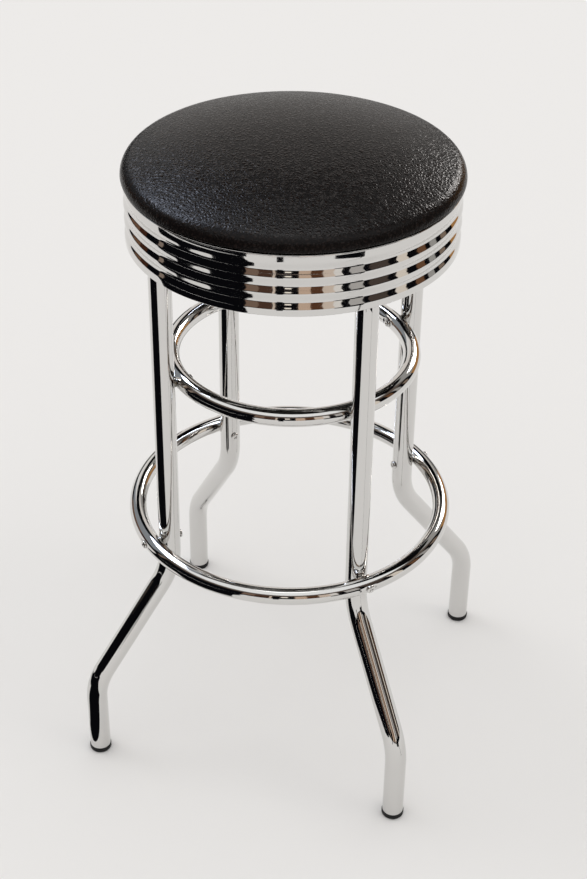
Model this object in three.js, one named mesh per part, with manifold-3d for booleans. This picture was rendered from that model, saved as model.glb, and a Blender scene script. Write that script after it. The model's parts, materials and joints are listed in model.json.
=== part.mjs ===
// Diner counter stool: a padded round seat in a ribbed chrome band, turning on a ball swivel,
// carried by four bent tube legs that are tied by an upper ring and a foot ring.
// Millimetres, +Z up. The origin is on the floor, under the middle of the seat.

import * as THREE from "three";
import { mergeVertices } from "three/addons/utils/BufferGeometryUtils.js";
import Module from "manifold-3d";

const wasm = await Module();
wasm.setup();

// Fits shared by the whole stool
const seatGap = 0.3; // left between two pieces that rest on each other
const threadGap = 0.15; // between a screw's shank and the thread that it turns in
const holeGap = 0.35; // between a shank and the wall of a plain hole
const overrun = 3; // how far a cut runs past the face that it opens

// Legs: one bent tube each
const legNames = ["front_right", "rear_right", "rear_left", "front_left"];
const firstLegTurn = -45; // degrees from +X
const legTubeRadius = 12.5;
const legTubeWall = 1.5;
const legCircleRadius = 160; // the upright runs, from the stool's middle
const footCircleRadius = 264.5; // the feet, from the stool's middle
const armHeight = 679.5; // centre line of the level arms under the seat
const armInnerEnd = 30; // where an arm stops short of the stool's middle
const topBendRadius = 38;
const kneeDrop = 18; // from the foot ring down to where the upright run ends
const kneeBendRadius = 80;
const ankleBendRadius = 70;
const splayAngle = 36.2; // degrees from upright
const legSides = 10;
const boreSides = 6;
const topBendSteps = 6;
const legBendSteps = 4; // at the knee and at the ankle

// Foot glides: moulded plugs with a domed tread
const glideHeight = 5.7;
const glideDomeHeight = 4.4;
const glideFlatRadius = 7.5;
const glideStemHeight = 18;
const glideStemTaper = 1.5;
const glideDomeSteps = 3;

// Rings
const ringTubeRadius = 10;
const ringTubeWall = 1.5;
const upperRingHeight = 505;
const footRingHeight = 294;
const ringSteps = 40;
const spotFaceDepth = 0.8; // small flat pressed under a screw's head
const spotFaceRadius = 7;

// Screws and nuts of the two rings
const ringScrewRadius = 3;
const panHeadRadius = 6;
const panHeadHeight = 3.6;
const panTopShare = 0.6; // flat top of a head, of its radius
const panSideShare = 0.4; // upright side of a head, of its height
const sleeveRadius = 4;
const sleeveLength = 14;
const sleeveHeadHeight = 2.4;
const rivetNutRadius = 4.4;
const rivetNutLength = 13;
const rivetNutFlangeRadius = 5.4;
const rivetNutFlangeHeight = 0.8;
const screwSides = 8;

// Leg bolts, up through the arms into nuts welded on the base plate
const legBoltInnerReach = 63; // from the stool's middle
const legBoltOuterReach = 91;
const legBoltRadius = 3;
const legBoltHeadRadius = 5.8;
const legBoltHeadHeight = 4;
const weldNutRadius = 5.8;
const weldNutHeight = 5;
const hexSides = 6;

// Swivel: two pressed plates with a ball race between them
const plateWidth = 150;
const plateThickness = 2.5;
const plateCornerRadius = 12;
const plateCornerSteps = 3;
const dishRadius = 50; // pressed dish round the race
const dishDepth = 3;
const dishFlank = 4; // width of the dish's sloping wall
const ballCircleRadius = 38;
const ballRadius = 4;
const ballCount = 10;
const ballSides = 8;
const ballRows = 4;
const raceDepth = 0.8;
const raceHalfWidth = 2.6;
const raceSteps = 4;
const cageWidth = 14; // of the flat ring that holds the balls
const cageThickness = 1.4;
const rivetRadius = 8;
const rivetBoreRadius = 5.5;
const rivetFootRadius = 13;
const rivetHeadRadius = 11;
const rivetFlange = 1.2;
const washerRadius = 15;
const washerThickness = 1;
const swivelSteps = 24;

// Seat board and what screws into it
const boardThickness = 12;
const boardClearance = 3.9; // from the band's wall at its crests
const seatScrewReach = 84; // from the stool's middle, towards the plate's corners
const seatScrewRadius = 3;
const seatScrewHeadRadius = 5.5;
const seatScrewHeadHeight = 3.2;
const teeBarrelRadius = 4.2;
const teeBarrelLength = 9;
const teeFlangeRadius = 9.5;
const teeFlangeHeight = 1.2;
const bandScrewRadius = 2;
const bandScrewHeadRadius = 4;
const bandScrewHeadHeight = 2.4;
const bandScrewGrip = 9; // how far it goes into the board

// Chrome band round the seat, its wall rolled in waves
const bandRadius = 182; // at the crests
const bandWall = 1.2;
const bandRise = 2.8; // how far the rim stands above the board
const beadHeight = 2.4; // rolled rim
const beadWidth = 2.6;
const beadBulge = 0.5; // how far the rim stands out past the crests
const wideRibRise = 7.5; // from the top crest up to the crease under the rim
const wideRibDraw = 1.2; // how far the wall is drawn in at the crease
const wideRibDrop = 6.3; // from the top crest down to the highest trough
const wavePitch = 18.25;
const waveDepth = 3;
const waveCount = 3;
const lowRibDrop = 6.8; // from the lowest crest down to the band's edge
const hemRadius = 1.6;
const hemSteps = 2;
const waveSteps = 3; // from a crest to a trough
const creaseSteps = 2;
const beadSteps = 6;
const lugWidth = 22;
const lugThickness = 1.5;
const lugReach = 20; // inwards from the band's wall
const lugDrop = 10; // the part that is welded down the wall

// Cushion
const cushionRadius = 184.4; // at its fullest
const cushionTuckGap = 0.6; // from the band's crease to the part that is tucked in there
const bulgeHeight = 9.5; // of the fullest line, above the board
const shoulderInset = 14.4; // from the fullest line to the shoulder
const shoulderHeight = 22.6;
const crownHeight = 39.1;
const lowCurveShares = { reach: 0.37, rise: 0.08, start: 0.6 };
const sideCurveShares = { start: 0.54, reach: 0.65, drop: 0.24 };
const crownCurveShares = { shoulder: 0.85, rise: 0.5, middle: 0.45 };
const cushionCurveSteps = 4;
const seatSteps = 36; // round the cushion, the board and the band

// Heights that follow from the pieces under them
const legTubeBore = legTubeRadius - legTubeWall;
const legFootHeight = glideHeight + seatGap;
const kneeHeight = footRingHeight - kneeDrop;
const plateGap = 2 * (ballRadius + seatGap - raceDepth + dishDepth);
const basePlateBottom = armHeight + legTubeRadius + seatGap;
const basePlateTop = basePlateBottom + plateThickness;
const topPlateBottom = basePlateTop + plateGap;
const topPlateTop = topPlateBottom + plateThickness;
const raceMiddle = (basePlateTop + topPlateBottom) / 2;
const boardBottom = topPlateTop + seatGap;
const boardTop = boardBottom + boardThickness;
const cushionBottom = boardTop + seatGap;
const bandTop = boardTop + bandRise;
const bandInner = bandRadius - bandWall;
const topCrest = bandTop - beadHeight - wideRibRise;
const lowCrest = topCrest - wideRibDrop - (waveCount - 1 / 2) * wavePitch;
const boardRadius = bandInner - boardClearance;
const lugWall = bandInner - waveDepth; // inner face of the troughs
const bandScrewReach = lugWall - lugReach / 2;
const upperRingRadius = legCircleRadius - legTubeRadius - seatGap - ringTubeRadius;
const footRingRadius = legCircleRadius + legTubeRadius + seatGap + ringTubeRadius;

// Colours and finishes, read from the photograph
const chrome = { color: 0xd6d7d8, roughness: 0.06, metalness: 1 };
const zincPlate = { color: 0xb9bab6, roughness: 0.35, metalness: 1 };
const brightSteel = { color: 0xc9cbcd, roughness: 0.18, metalness: 1 };
const vinyl = { color: 0x262423, roughness: 0.42, metalness: 0 };
const plywood = { color: 0xb48a58, roughness: 0.75, metalness: 0 };
const blackPlastic = { color: 0x17171a, roughness: 0.5, metalness: 0 };

const stool = new THREE.Group();

/** Adds one named piece, turned about +Z by a number of degrees. */
function add(name, geometry, finish, turn = 0) {
  const mesh = new THREE.Mesh(geometry, new THREE.MeshStandardMaterial(finish));
  mesh.name = name;
  mesh.rotation.z = THREE.MathUtils.degToRad(turn);
  stool.add(mesh);
}

/** The four legs' turns about +Z, in degrees, with their names. */
function forEachLeg(place) {
  legNames.forEach((name, i) => place(name, firstLegTurn + (360 / legNames.length) * i));
}

/** A closed solid ready to be joined or cut. */
function solid(geometry) {
  const bare = geometry.clone();
  bare.deleteAttribute("normal");
  bare.deleteAttribute("uv");
  const merged = mergeVertices(bare);
  return new wasm.Manifold(
    new wasm.Mesh({
      numProp: 3,
      vertProperties: new Float32Array(merged.attributes.position.array),
      triVerts: new Uint32Array(merged.index.array),
    }),
  );
}

/** Turns a joined or cut solid back into a geometry. */
function geometryOf(body) {
  const mesh = body.getMesh();
  const geometry = new THREE.BufferGeometry();
  geometry.setAttribute("position", new THREE.BufferAttribute(new Float32Array(mesh.vertProperties), 3));
  geometry.setIndex(new THREE.BufferAttribute(new Uint32Array(mesh.triVerts), 1));
  geometry.computeVertexNormals();
  return geometry;
}

/** Revolves an outline of [radius, height] pairs about +Z. It runs outwards along the bottom first. */
function revolve(outline, steps) {
  const points = outline.map(([radius, height]) => new THREE.Vector2(radius, height));
  return new THREE.LatheGeometry(points, steps).rotateX(Math.PI / 2);
}

/** Revolves an outline that goes round a bore, so its last point joins its first. */
function revolveRing(outline, steps) {
  return revolve([...outline, outline[0]], steps);
}

/** Points of a regular polygon, the first one on its own +X. */
function polygon(radius, sides) {
  return Array.from({ length: sides }, (_, i) => {
    const angle = (2 * Math.PI * i) / sides;
    return new THREE.Vector2(radius * Math.cos(angle), radius * Math.sin(angle));
  });
}

/** Points on an arc in the outline's plane, ends included, angles in degrees. */
function arc(x, y, radiusX, radiusY, from, to, steps) {
  return Array.from({ length: steps + 1 }, (_, i) => {
    const angle = THREE.MathUtils.degToRad(from + ((to - from) * i) / steps);
    return [x + radiusX * Math.cos(angle), y + radiusY * Math.sin(angle)];
  });
}

/** A round cutter along +Z between two heights. */
function upright(radius, bottom, top, sides) {
  return revolve([[0, bottom], [radius, bottom], [radius, top], [0, top]], sides);
}

/** Lays a piece that was drawn along +Z along +X instead, its own zero at a given radius and height. */
function alongX(geometry, radius, height) {
  return geometry.rotateY(Math.PI / 2).translate(radius, 0, height);
}

/** The centre line of a bent tube: each station holds a point and the direction there. */
class BentLine extends THREE.Curve {
  constructor(x, z, heading) {
    super();
    this.heading = THREE.MathUtils.degToRad(heading);
    this.stations = [];
    this.mark(x, z);
  }
  mark(x, z) {
    const along = new THREE.Vector3(Math.cos(this.heading), 0, Math.sin(this.heading));
    this.stations.push({ point: new THREE.Vector3(x, 0, z), along });
  }
  run(length) {
    const { point, along } = this.stations.at(-1);
    this.mark(point.x + along.x * length, point.z + along.z * length);
    return this;
  }
  bend(degrees, radius, steps) {
    const side = Math.sign(degrees) * radius;
    const { point } = this.stations.at(-1);
    const middleX = point.x - side * Math.sin(this.heading);
    const middleZ = point.z + side * Math.cos(this.heading);
    for (let i = 0; i < steps; i++) {
      this.heading += THREE.MathUtils.degToRad(degrees) / steps;
      this.mark(middleX + side * Math.sin(this.heading), middleZ - side * Math.cos(this.heading));
    }
    return this;
  }
  at(share) {
    return this.stations[Math.round(share * (this.stations.length - 1))];
  }
  getPointAt(share, target = new THREE.Vector3()) {
    return target.copy(this.at(share).point);
  }
  getTangentAt(share, target = new THREE.Vector3()) {
    return target.copy(this.at(share).along);
  }
}

/** A hollow tube along a bent line, open at both ends. */
function hollowTube(line, radius, bore) {
  const section = new THREE.Shape(polygon(radius, legSides));
  section.holes.push(new THREE.Path(polygon(bore, boreSides)));
  return new THREE.ExtrudeGeometry(section, { extrudePath: line, steps: line.stations.length - 1 });
}

// Legs

/** The leg's centre line in its own XZ plane, from the arm's inner end down to the foot. */
function legLine() {
  const splay = THREE.MathUtils.degToRad(splayAngle);
  const bendsOut = (kneeBendRadius + ankleBendRadius) * (1 - Math.cos(splay));
  const slope = (footCircleRadius - legCircleRadius - bendsOut) / Math.sin(splay);
  const slopeDrop = (kneeBendRadius + ankleBendRadius) * Math.sin(splay) + slope * Math.cos(splay);
  return new BentLine(armInnerEnd, armHeight, 0)
    .run(legCircleRadius - topBendRadius - armInnerEnd)
    .bend(-90, topBendRadius, topBendSteps)
    .run(armHeight - topBendRadius - kneeHeight)
    .bend(splayAngle, kneeBendRadius, legBendSteps)
    .run(slope)
    .bend(-splayAngle, ankleBendRadius, legBendSteps)
    .run(kneeHeight - slopeDrop - legFootHeight);
}

/** One leg with its bolt holes in the arm and its screw holes at the two rings. */
function legGeometry() {
  let body = solid(hollowTube(legLine(), legTubeRadius, legTubeBore));
  for (const reach of [legBoltInnerReach, legBoltOuterReach]) {
    const bottom = armHeight - legTubeRadius - overrun;
    const top = armHeight + legTubeRadius + overrun;
    const hole = upright(legBoltRadius + holeGap, bottom, top, screwSides);
    body = body.subtract(solid(hole.translate(reach, 0, 0)));
  }
  const half = legTubeRadius + overrun;
  const rivetHole = upright(rivetNutRadius + seatGap, -half, 0, screwSides);
  body = body.subtract(solid(alongX(rivetHole, legCircleRadius, upperRingHeight)));
  const sleeveHole = upright(sleeveRadius + holeGap, -half, 0, screwSides);
  body = body.subtract(solid(alongX(sleeveHole, legCircleRadius, footRingHeight)));
  const screwHole = upright(ringScrewRadius + holeGap, 0, half, screwSides);
  body = body.subtract(solid(alongX(screwHole, legCircleRadius, footRingHeight)));
  return geometryOf(body);
}

/** A glide: a domed tread as wide as the tube, and a tapered stem pushed up its bore. */
function glideGeometry() {
  const flank = legTubeRadius - glideFlatRadius;
  const stem = legTubeBore * Math.cos(Math.PI / boreSides) - seatGap;
  const outline = [
    [0, 0],
    ...arc(glideFlatRadius, glideDomeHeight, flank, glideDomeHeight, -90, 0, glideDomeSteps),
    [legTubeRadius, glideHeight],
    [stem, glideHeight],
    [stem - glideStemTaper, glideHeight + glideStemHeight],
    [0, glideHeight + glideStemHeight],
  ];
  return revolve(outline, legSides).translate(footCircleRadius, 0, 0);
}

// Rings and what screws them to the legs

/** A hollow ring of tube with a screw hole through both walls at each leg, and a flat for the head. */
function ringGeometry(radius, height, innerHole, outerHole, headSide) {
  const tube = (size, sides) => polygon(size, sides).map(({ x, y }) => [radius + x, height + y]);
  let body = solid(revolveRing(tube(ringTubeRadius, legSides), ringSteps));
  body = body.subtract(solid(revolveRing(tube(ringTubeRadius - ringTubeWall, boreSides), ringSteps)));
  forEachLeg((_, turn) => {
    const reach = ringTubeRadius + overrun;
    const angle = THREE.MathUtils.degToRad(turn);
    const inner = alongX(upright(innerHole, -reach, 0, screwSides), radius, height).rotateZ(angle);
    const outer = alongX(upright(outerHole, 0, reach, screwSides), radius, height).rotateZ(angle);
    const flat = upright(spotFaceRadius, ringTubeRadius - spotFaceDepth, reach, screwSides);
    const facing = alongX(flat, 0, 0).rotateZ(headSide < 0 ? Math.PI : 0);
    const flatAtLeg = facing.translate(radius, 0, height).rotateZ(angle);
    body = body.subtract(solid(inner)).subtract(solid(outer)).subtract(solid(flatAtLeg));
  });
  return geometryOf(body);
}

/** A pan head screw, the underside of its head at zero and its shank along +Z. */
function panScrew(headRadius, headHeight, shankRadius, shankLength) {
  return revolve(
    [
      [0, -headHeight],
      [headRadius * panTopShare, -headHeight],
      [headRadius, -headHeight * panSideShare],
      [headRadius, 0],
      [shankRadius, 0],
      [shankRadius, shankLength],
      [0, shankLength],
    ],
    screwSides,
  );
}

/** Upper ring's screw: its head inside the ring, its shank out into the leg's rivet nut. */
function upperScrewGeometry() {
  const headSeat = upperRingRadius - ringTubeRadius + spotFaceDepth - seatGap;
  const tip = legCircleRadius - legTubeRadius + rivetNutLength;
  const screw = panScrew(panHeadRadius, panHeadHeight, ringScrewRadius, tip - headSeat);
  return alongX(screw, headSeat, upperRingHeight);
}

/** Blind rivet nut: a threaded barrel in the leg's inner wall, its flange in the ring's outer hole. */
function rivetNutGeometry() {
  const bore = ringScrewRadius + threadGap;
  const nut = revolveRing(
    [
      [bore, -rivetNutFlangeHeight],
      [rivetNutFlangeRadius, -rivetNutFlangeHeight],
      [rivetNutFlangeRadius, 0],
      [rivetNutRadius, 0],
      [rivetNutRadius, rivetNutLength],
      [bore, rivetNutLength],
    ],
    screwSides,
  );
  return alongX(nut, legCircleRadius - legTubeRadius - seatGap, upperRingHeight);
}

/** Foot ring's screw: its head outside the ring, its shank inwards through ring and leg. */
function footRingScrewGeometry() {
  const headSeat = footRingRadius + ringTubeRadius - spotFaceDepth + seatGap;
  const tip = legCircleRadius - legTubeRadius + sleeveLength / 2;
  const screw = panScrew(panHeadRadius, panHeadHeight, ringScrewRadius, headSeat - tip);
  return alongX(screw.rotateX(Math.PI), headSeat, footRingHeight);
}

/** Sleeve nut: a low round head on the leg's inner face, its threaded barrel into the leg. */
function sleeveNutGeometry() {
  const bore = ringScrewRadius + threadGap;
  const nut = revolve(
    [
      [0, -sleeveHeadHeight],
      [panHeadRadius * panTopShare, -sleeveHeadHeight],
      [panHeadRadius, -sleeveHeadHeight * panSideShare],
      [panHeadRadius, 0],
      [sleeveRadius, 0],
      [sleeveRadius, sleeveLength],
      [bore, sleeveLength],
      [bore, seatGap],
      [0, seatGap],
    ],
    screwSides,
  );
  return alongX(nut, legCircleRadius - legTubeRadius - seatGap, footRingHeight);
}

// Swivel

/** Section of a plate's pressed dish. Its race face is upwards, at a given height over the flat plate. */
function dishOutline(holeRadius) {
  const face = plateThickness + dishDepth;
  const race = arc(ballCircleRadius, face, raceHalfWidth, raceDepth, 0, -180, raceSteps);
  const flankTop = dishRadius - dishFlank;
  return [
    [holeRadius, dishDepth],
    [flankTop, dishDepth],
    [dishRadius, 0],
    [dishRadius + plateThickness, 0],
    [dishRadius + plateThickness, plateThickness],
    [dishRadius, plateThickness],
    [flankTop, face],
    ...race,
    [holeRadius, face],
  ];
}

/** A square plate with rounded corners, its underside at zero. */
function squarePlate() {
  const half = plateWidth / 2;
  const inset = half - plateCornerRadius;
  const corners = [[inset, -inset, -90], [inset, inset, 0], [-inset, inset, 90], [-inset, -inset, 180]];
  const points = corners.flatMap(([x, y, from]) =>
    arc(x, y, plateCornerRadius, plateCornerRadius, from, from + 90, plateCornerSteps));
  const outline = new THREE.Shape(points.map(([x, y]) => new THREE.Vector2(x, y)));
  return new THREE.ExtrudeGeometry(outline, { depth: plateThickness, bevelEnabled: false });
}

/** A pressed swivel plate, race face up, with holes at given reaches towards its corners. */
function platePressing(holeReaches, holeRadius) {
  let body = solid(squarePlate());
  body = body.subtract(solid(upright(dishRadius, -overrun, plateThickness + overrun, swivelSteps)));
  body = body.add(solid(revolveRing(dishOutline(rivetRadius + holeGap), swivelSteps)));
  forEachLeg((_, turn) => {
    for (const reach of holeReaches) {
      const hole = upright(holeRadius, -overrun, plateThickness + overrun, screwSides);
      body = body.subtract(solid(hole.translate(reach, 0, 0).rotateZ(THREE.MathUtils.degToRad(turn))));
    }
  });
  return body;
}

/** Base plate, with the legs' nuts welded on its upper face. */
function basePlateGeometry() {
  const reaches = [legBoltInnerReach, legBoltOuterReach];
  let body = platePressing(reaches, legBoltRadius + holeGap);
  forEachLeg((_, turn) => {
    for (const reach of reaches) {
      const bore = legBoltRadius + threadGap;
      const height = plateThickness + weldNutHeight;
      const outer = solid(upright(weldNutRadius, plateThickness / 2, height, hexSides));
      const inner = solid(upright(bore, 0, height + overrun, screwSides));
      const nut = geometryOf(outer.subtract(inner));
      const turned = nut.translate(reach, 0, 0).rotateZ(THREE.MathUtils.degToRad(turn));
      body = body.add(solid(turned));
    }
  });
  return geometryOf(body).translate(0, 0, basePlateBottom);
}

/** Top plate: the same pressing turned over, with the seat screws' holes at its corners. */
function topPlateGeometry() {
  const body = platePressing([seatScrewReach], seatScrewRadius + holeGap);
  return geometryOf(body).rotateX(Math.PI).translate(0, 0, topPlateTop);
}

/** Ball cage: a flat ring with the balls held in it. */
function ballCageGeometry() {
  const half = cageThickness / 2;
  const inner = ballCircleRadius - cageWidth / 2;
  const outer = ballCircleRadius + cageWidth / 2;
  const section = [[inner, -half], [outer, -half], [outer, half], [inner, half]];
  let body = solid(revolveRing(section, swivelSteps));
  for (let i = 0; i < ballCount; i++) {
    const ball = new THREE.SphereGeometry(ballRadius, ballSides, ballRows).rotateX(Math.PI / 2);
    const angle = (2 * Math.PI * i) / ballCount;
    body = body.add(solid(ball.translate(ballCircleRadius, 0, 0).rotateZ(angle)));
  }
  return geometryOf(body).translate(0, 0, raceMiddle);
}

/** Hollow centre rivet, which holds the two plates together and lets the top one turn. */
function rivetGeometry() {
  const footTop = basePlateBottom + dishDepth - seatGap;
  const headBottom = topPlateTop - dishDepth + washerThickness + 2 * seatGap;
  return revolveRing(
    [
      [rivetBoreRadius, footTop - rivetFlange],
      [rivetFootRadius, footTop - rivetFlange],
      [rivetFootRadius, footTop],
      [rivetRadius, footTop],
      [rivetRadius, headBottom],
      [rivetHeadRadius, headBottom],
      [rivetHeadRadius, headBottom + rivetFlange],
      [rivetBoreRadius, headBottom + rivetFlange],
    ],
    swivelSteps / 2,
  );
}

/** Washer under the rivet's head, in the top plate's dish. */
function washerGeometry() {
  const bottom = topPlateTop - dishDepth + seatGap;
  const bore = rivetRadius + holeGap;
  const top = bottom + washerThickness;
  return revolveRing(
    [[bore, bottom], [washerRadius, bottom], [washerRadius, top], [bore, top]], swivelSteps / 2);
}

/** Leg bolt: a hexagon head under the arm, its shank up into the welded nut. */
function legBoltGeometry(reach) {
  const seat = armHeight - legTubeRadius - seatGap;
  const tip = basePlateTop + weldNutHeight;
  const head = solid(upright(legBoltHeadRadius, seat - legBoltHeadHeight, seat, hexSides));
  const shank = solid(upright(legBoltRadius, seat - legBoltHeadHeight / 2, tip, screwSides));
  return geometryOf(head.add(shank)).translate(reach, 0, 0);
}

// Seat

/** Seat screw: its head under the top plate, its shank up into the tee nut. */
function seatScrewGeometry() {
  const headSeat = topPlateBottom - seatGap;
  const tip = boardTop - teeFlangeHeight - seatGap;
  const screw = panScrew(seatScrewHeadRadius, seatScrewHeadHeight, seatScrewRadius, tip - headSeat);
  return screw.translate(seatScrewReach, 0, headSeat);
}

/** Tee nut: its flange let into the board's top face, its barrel down the hole. */
function teeNutGeometry() {
  const bore = seatScrewRadius + threadGap;
  const top = boardTop - seatGap;
  const shelf = top - teeFlangeHeight;
  return revolveRing(
    [
      [bore, shelf - teeBarrelLength],
      [teeBarrelRadius, shelf - teeBarrelLength],
      [teeBarrelRadius, shelf],
      [teeFlangeRadius, shelf],
      [teeFlangeRadius, top],
      [bore, top],
    ],
    screwSides,
  ).translate(seatScrewReach, 0, 0);
}

/** Wood screw through a lug. */
function bandScrewGeometry() {
  const headSeat = boardBottom - lugThickness - 2 * seatGap;
  const length = boardBottom + bandScrewGrip - headSeat;
  return panScrew(bandScrewHeadRadius, bandScrewHeadHeight, bandScrewRadius, length)
    .translate(bandScrewReach, 0, headSeat);
}

/** Plywood disc with the tee nuts' stepped holes and the band screws' pilot holes. */
function boardGeometry() {
  let body = solid(upright(boardRadius, boardBottom, boardTop, seatSteps));
  const shelf = boardTop - teeFlangeHeight - 2 * seatGap;
  forEachLeg((_, turn) => {
    const angle = THREE.MathUtils.degToRad(turn);
    const cuts = [
      upright(teeBarrelRadius + seatGap, boardBottom - overrun, boardTop, screwSides),
      upright(teeFlangeRadius + seatGap, shelf, boardTop + overrun, screwSides),
    ];
    for (const cut of cuts) {
      body = body.subtract(solid(cut.translate(seatScrewReach, 0, 0).rotateZ(angle)));
    }
    const pilotTop = boardBottom + bandScrewGrip + seatGap;
    const pilot = upright(bandScrewRadius + seatGap, boardBottom - overrun, pilotTop, screwSides);
    body = body.subtract(solid(pilot.translate(bandScrewReach, 0, 0).rotateZ(angle)));
  });
  return geometryOf(body);
}

/** Points from one turn of the wall's wave towards the next, that one included, its own start left out. */
function swing([fromRadius, fromHeight], [toRadius, toHeight], steps, halfTurnShare) {
  const eased = (share) => 1 - Math.cos(Math.PI * halfTurnShare * share);
  return Array.from({ length: steps }, (_, i) => {
    const share = (i + 1) / steps;
    const radius = fromRadius + ((toRadius - fromRadius) * eased(share)) / eased(1);
    return [radius, fromHeight + (toHeight - fromHeight) * share];
  });
}

/** One face of the band's wall, from its lowest crest up to the crease under the rim. */
function wallLine(radius) {
  const line = [[radius, lowCrest]];
  for (let i = 0; i < waveCount; i++) {
    const trough = lowCrest + (i + 1 / 2) * wavePitch;
    const crest = i < waveCount - 1 ? trough + wavePitch / 2 : topCrest;
    line.push(...swing(line.at(-1), [radius - waveDepth, trough], waveSteps, 1));
    line.push(...swing(line.at(-1), [radius, crest], waveSteps, 1));
  }
  const crease = [radius - wideRibDraw, topCrest + wideRibRise];
  return [...line, ...swing(line.at(-1), crease, creaseSteps, 1 / 2)];
}

/** Rolled rim at the top of the band. */
function beadLine() {
  const half = beadHeight / 2;
  const middle = bandRadius + beadBulge - beadWidth / 2;
  return arc(middle, bandTop - half, beadWidth / 2, half, -45, 225, beadSteps);
}

/** A lug: a tongue under the board and a flange welded to the highest trough's inner face. */
function lugSolid() {
  const top = boardBottom - seatGap;
  const weld = bandWall / 4;
  const tongue = new THREE.BoxGeometry(lugReach, lugWidth, lugThickness)
    .translate(lugWall - lugReach / 2, 0, top - lugThickness / 2);
  const flange = new THREE.BoxGeometry(lugThickness, lugWidth, lugDrop)
    .translate(lugWall + weld - lugThickness / 2, 0, top - lugDrop / 2);
  const hole = upright(bandScrewRadius + holeGap, top - lugThickness - overrun, top + overrun, screwSides)
    .translate(bandScrewReach, 0, 0);
  return solid(tongue).add(solid(flange)).subtract(solid(hole));
}

/** Chrome band: a hem, three troughs between ribs, a wide rib and a rolled rim, with the lugs inside. */
function bandGeometry() {
  const bottom = lowCrest - lowRibDrop;
  const section = [
    [bandInner, bottom],
    ...arc(bandRadius - hemRadius, bottom + hemRadius, hemRadius, hemRadius, -90, 0, hemSteps),
    ...wallLine(bandRadius),
    ...beadLine(),
    ...wallLine(bandInner).reverse(),
  ];
  let body = solid(revolveRing(section, seatSteps));
  forEachLeg((_, turn) => {
    const lug = geometryOf(lugSolid()).rotateZ(THREE.MathUtils.degToRad(turn));
    body = body.add(solid(lug));
  });
  return geometryOf(body);
}

/** Domed cushion, drawn in at the rim, fullest just above it, with a soft shoulder and a low crown. */
function cushionGeometry() {
  const tucked = bandInner - wideRibDraw - cushionTuckGap;
  const rimTop = bandTop + seatGap;
  const fullest = cushionBottom + bulgeHeight;
  const shoulderRadius = cushionRadius - shoulderInset;
  const shoulder = cushionBottom + shoulderHeight;
  const sideRise = shoulderHeight - bulgeHeight;
  const crown = cushionBottom + crownHeight;
  const low = lowCurveShares;
  const side = sideCurveShares;
  const dome = crownCurveShares;
  const line = new THREE.Path().moveTo(tucked, rimTop);
  line.bezierCurveTo(
    tucked + low.reach * (cushionRadius - tucked), rimTop + low.rise * (fullest - rimTop),
    cushionRadius, fullest - low.start * (fullest - rimTop),
    cushionRadius, fullest,
  );
  line.bezierCurveTo(
    cushionRadius, fullest + side.start * sideRise,
    shoulderRadius + side.reach * shoulderInset, shoulder - side.drop * sideRise,
    shoulderRadius, shoulder,
  );
  line.bezierCurveTo(
    dome.shoulder * shoulderRadius, shoulder + dome.rise * (crown - shoulder),
    dome.middle * shoulderRadius, crown,
    0, crown,
  );
  const curve = line.getPoints(cushionCurveSteps).map(({ x, y }) => [x, y]);
  return revolve([[0, cushionBottom], [tucked, cushionBottom], ...curve], seatSteps);
}

add("seat_cushion", cushionGeometry(), vinyl);
add("seat_board", boardGeometry(), plywood);
add("seat_band", bandGeometry(), chrome);
add("swivel_top_plate", topPlateGeometry(), zincPlate);
add("swivel_ball_cage", ballCageGeometry(), brightSteel);
add("swivel_base_plate", basePlateGeometry(), zincPlate);
add("swivel_rivet", rivetGeometry(), zincPlate);
add("swivel_washer", washerGeometry(), zincPlate);
add("upper_ring", ringGeometry(
  upperRingRadius, upperRingHeight, ringScrewRadius + holeGap, rivetNutFlangeRadius + holeGap, -1), chrome);
add("foot_ring", ringGeometry(
  footRingRadius, footRingHeight, ringScrewRadius + holeGap, ringScrewRadius + holeGap, 1), chrome);
forEachLeg((name, turn) => {
  add(`leg_${name}`, legGeometry(), chrome, turn);
  add(`foot_glide_${name}`, glideGeometry(), blackPlastic, turn);
  add(`leg_bolt_inner_${name}`, legBoltGeometry(legBoltInnerReach), zincPlate, turn);
  add(`leg_bolt_outer_${name}`, legBoltGeometry(legBoltOuterReach), zincPlate, turn);
  add(`upper_ring_screw_${name}`, upperScrewGeometry(), chrome, turn);
  add(`rivet_nut_${name}`, rivetNutGeometry(), zincPlate, turn);
  add(`foot_ring_screw_${name}`, footRingScrewGeometry(), chrome, turn);
  add(`sleeve_nut_${name}`, sleeveNutGeometry(), chrome, turn);
  add(`seat_screw_${name}`, seatScrewGeometry(), zincPlate, turn);
  add(`tee_nut_${name}`, teeNutGeometry(), zincPlate, turn);
  add(`band_screw_${name}`, bandScrewGeometry(), zincPlate, turn);
});

export default stool;
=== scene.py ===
# %% [markdown]
# # A diner counter stool, dressed in Blender
#
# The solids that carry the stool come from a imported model, and this lesson builds the surfaces that
# the eye sees round them: chrome tube, a ribbed chrome band, a padded seat in black vinyl, the screws,
# and the swivel underneath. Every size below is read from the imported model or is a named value.

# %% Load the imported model
import json
import math

import bmesh
import bpy
from mathutils import Matrix, Vector, noise

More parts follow.
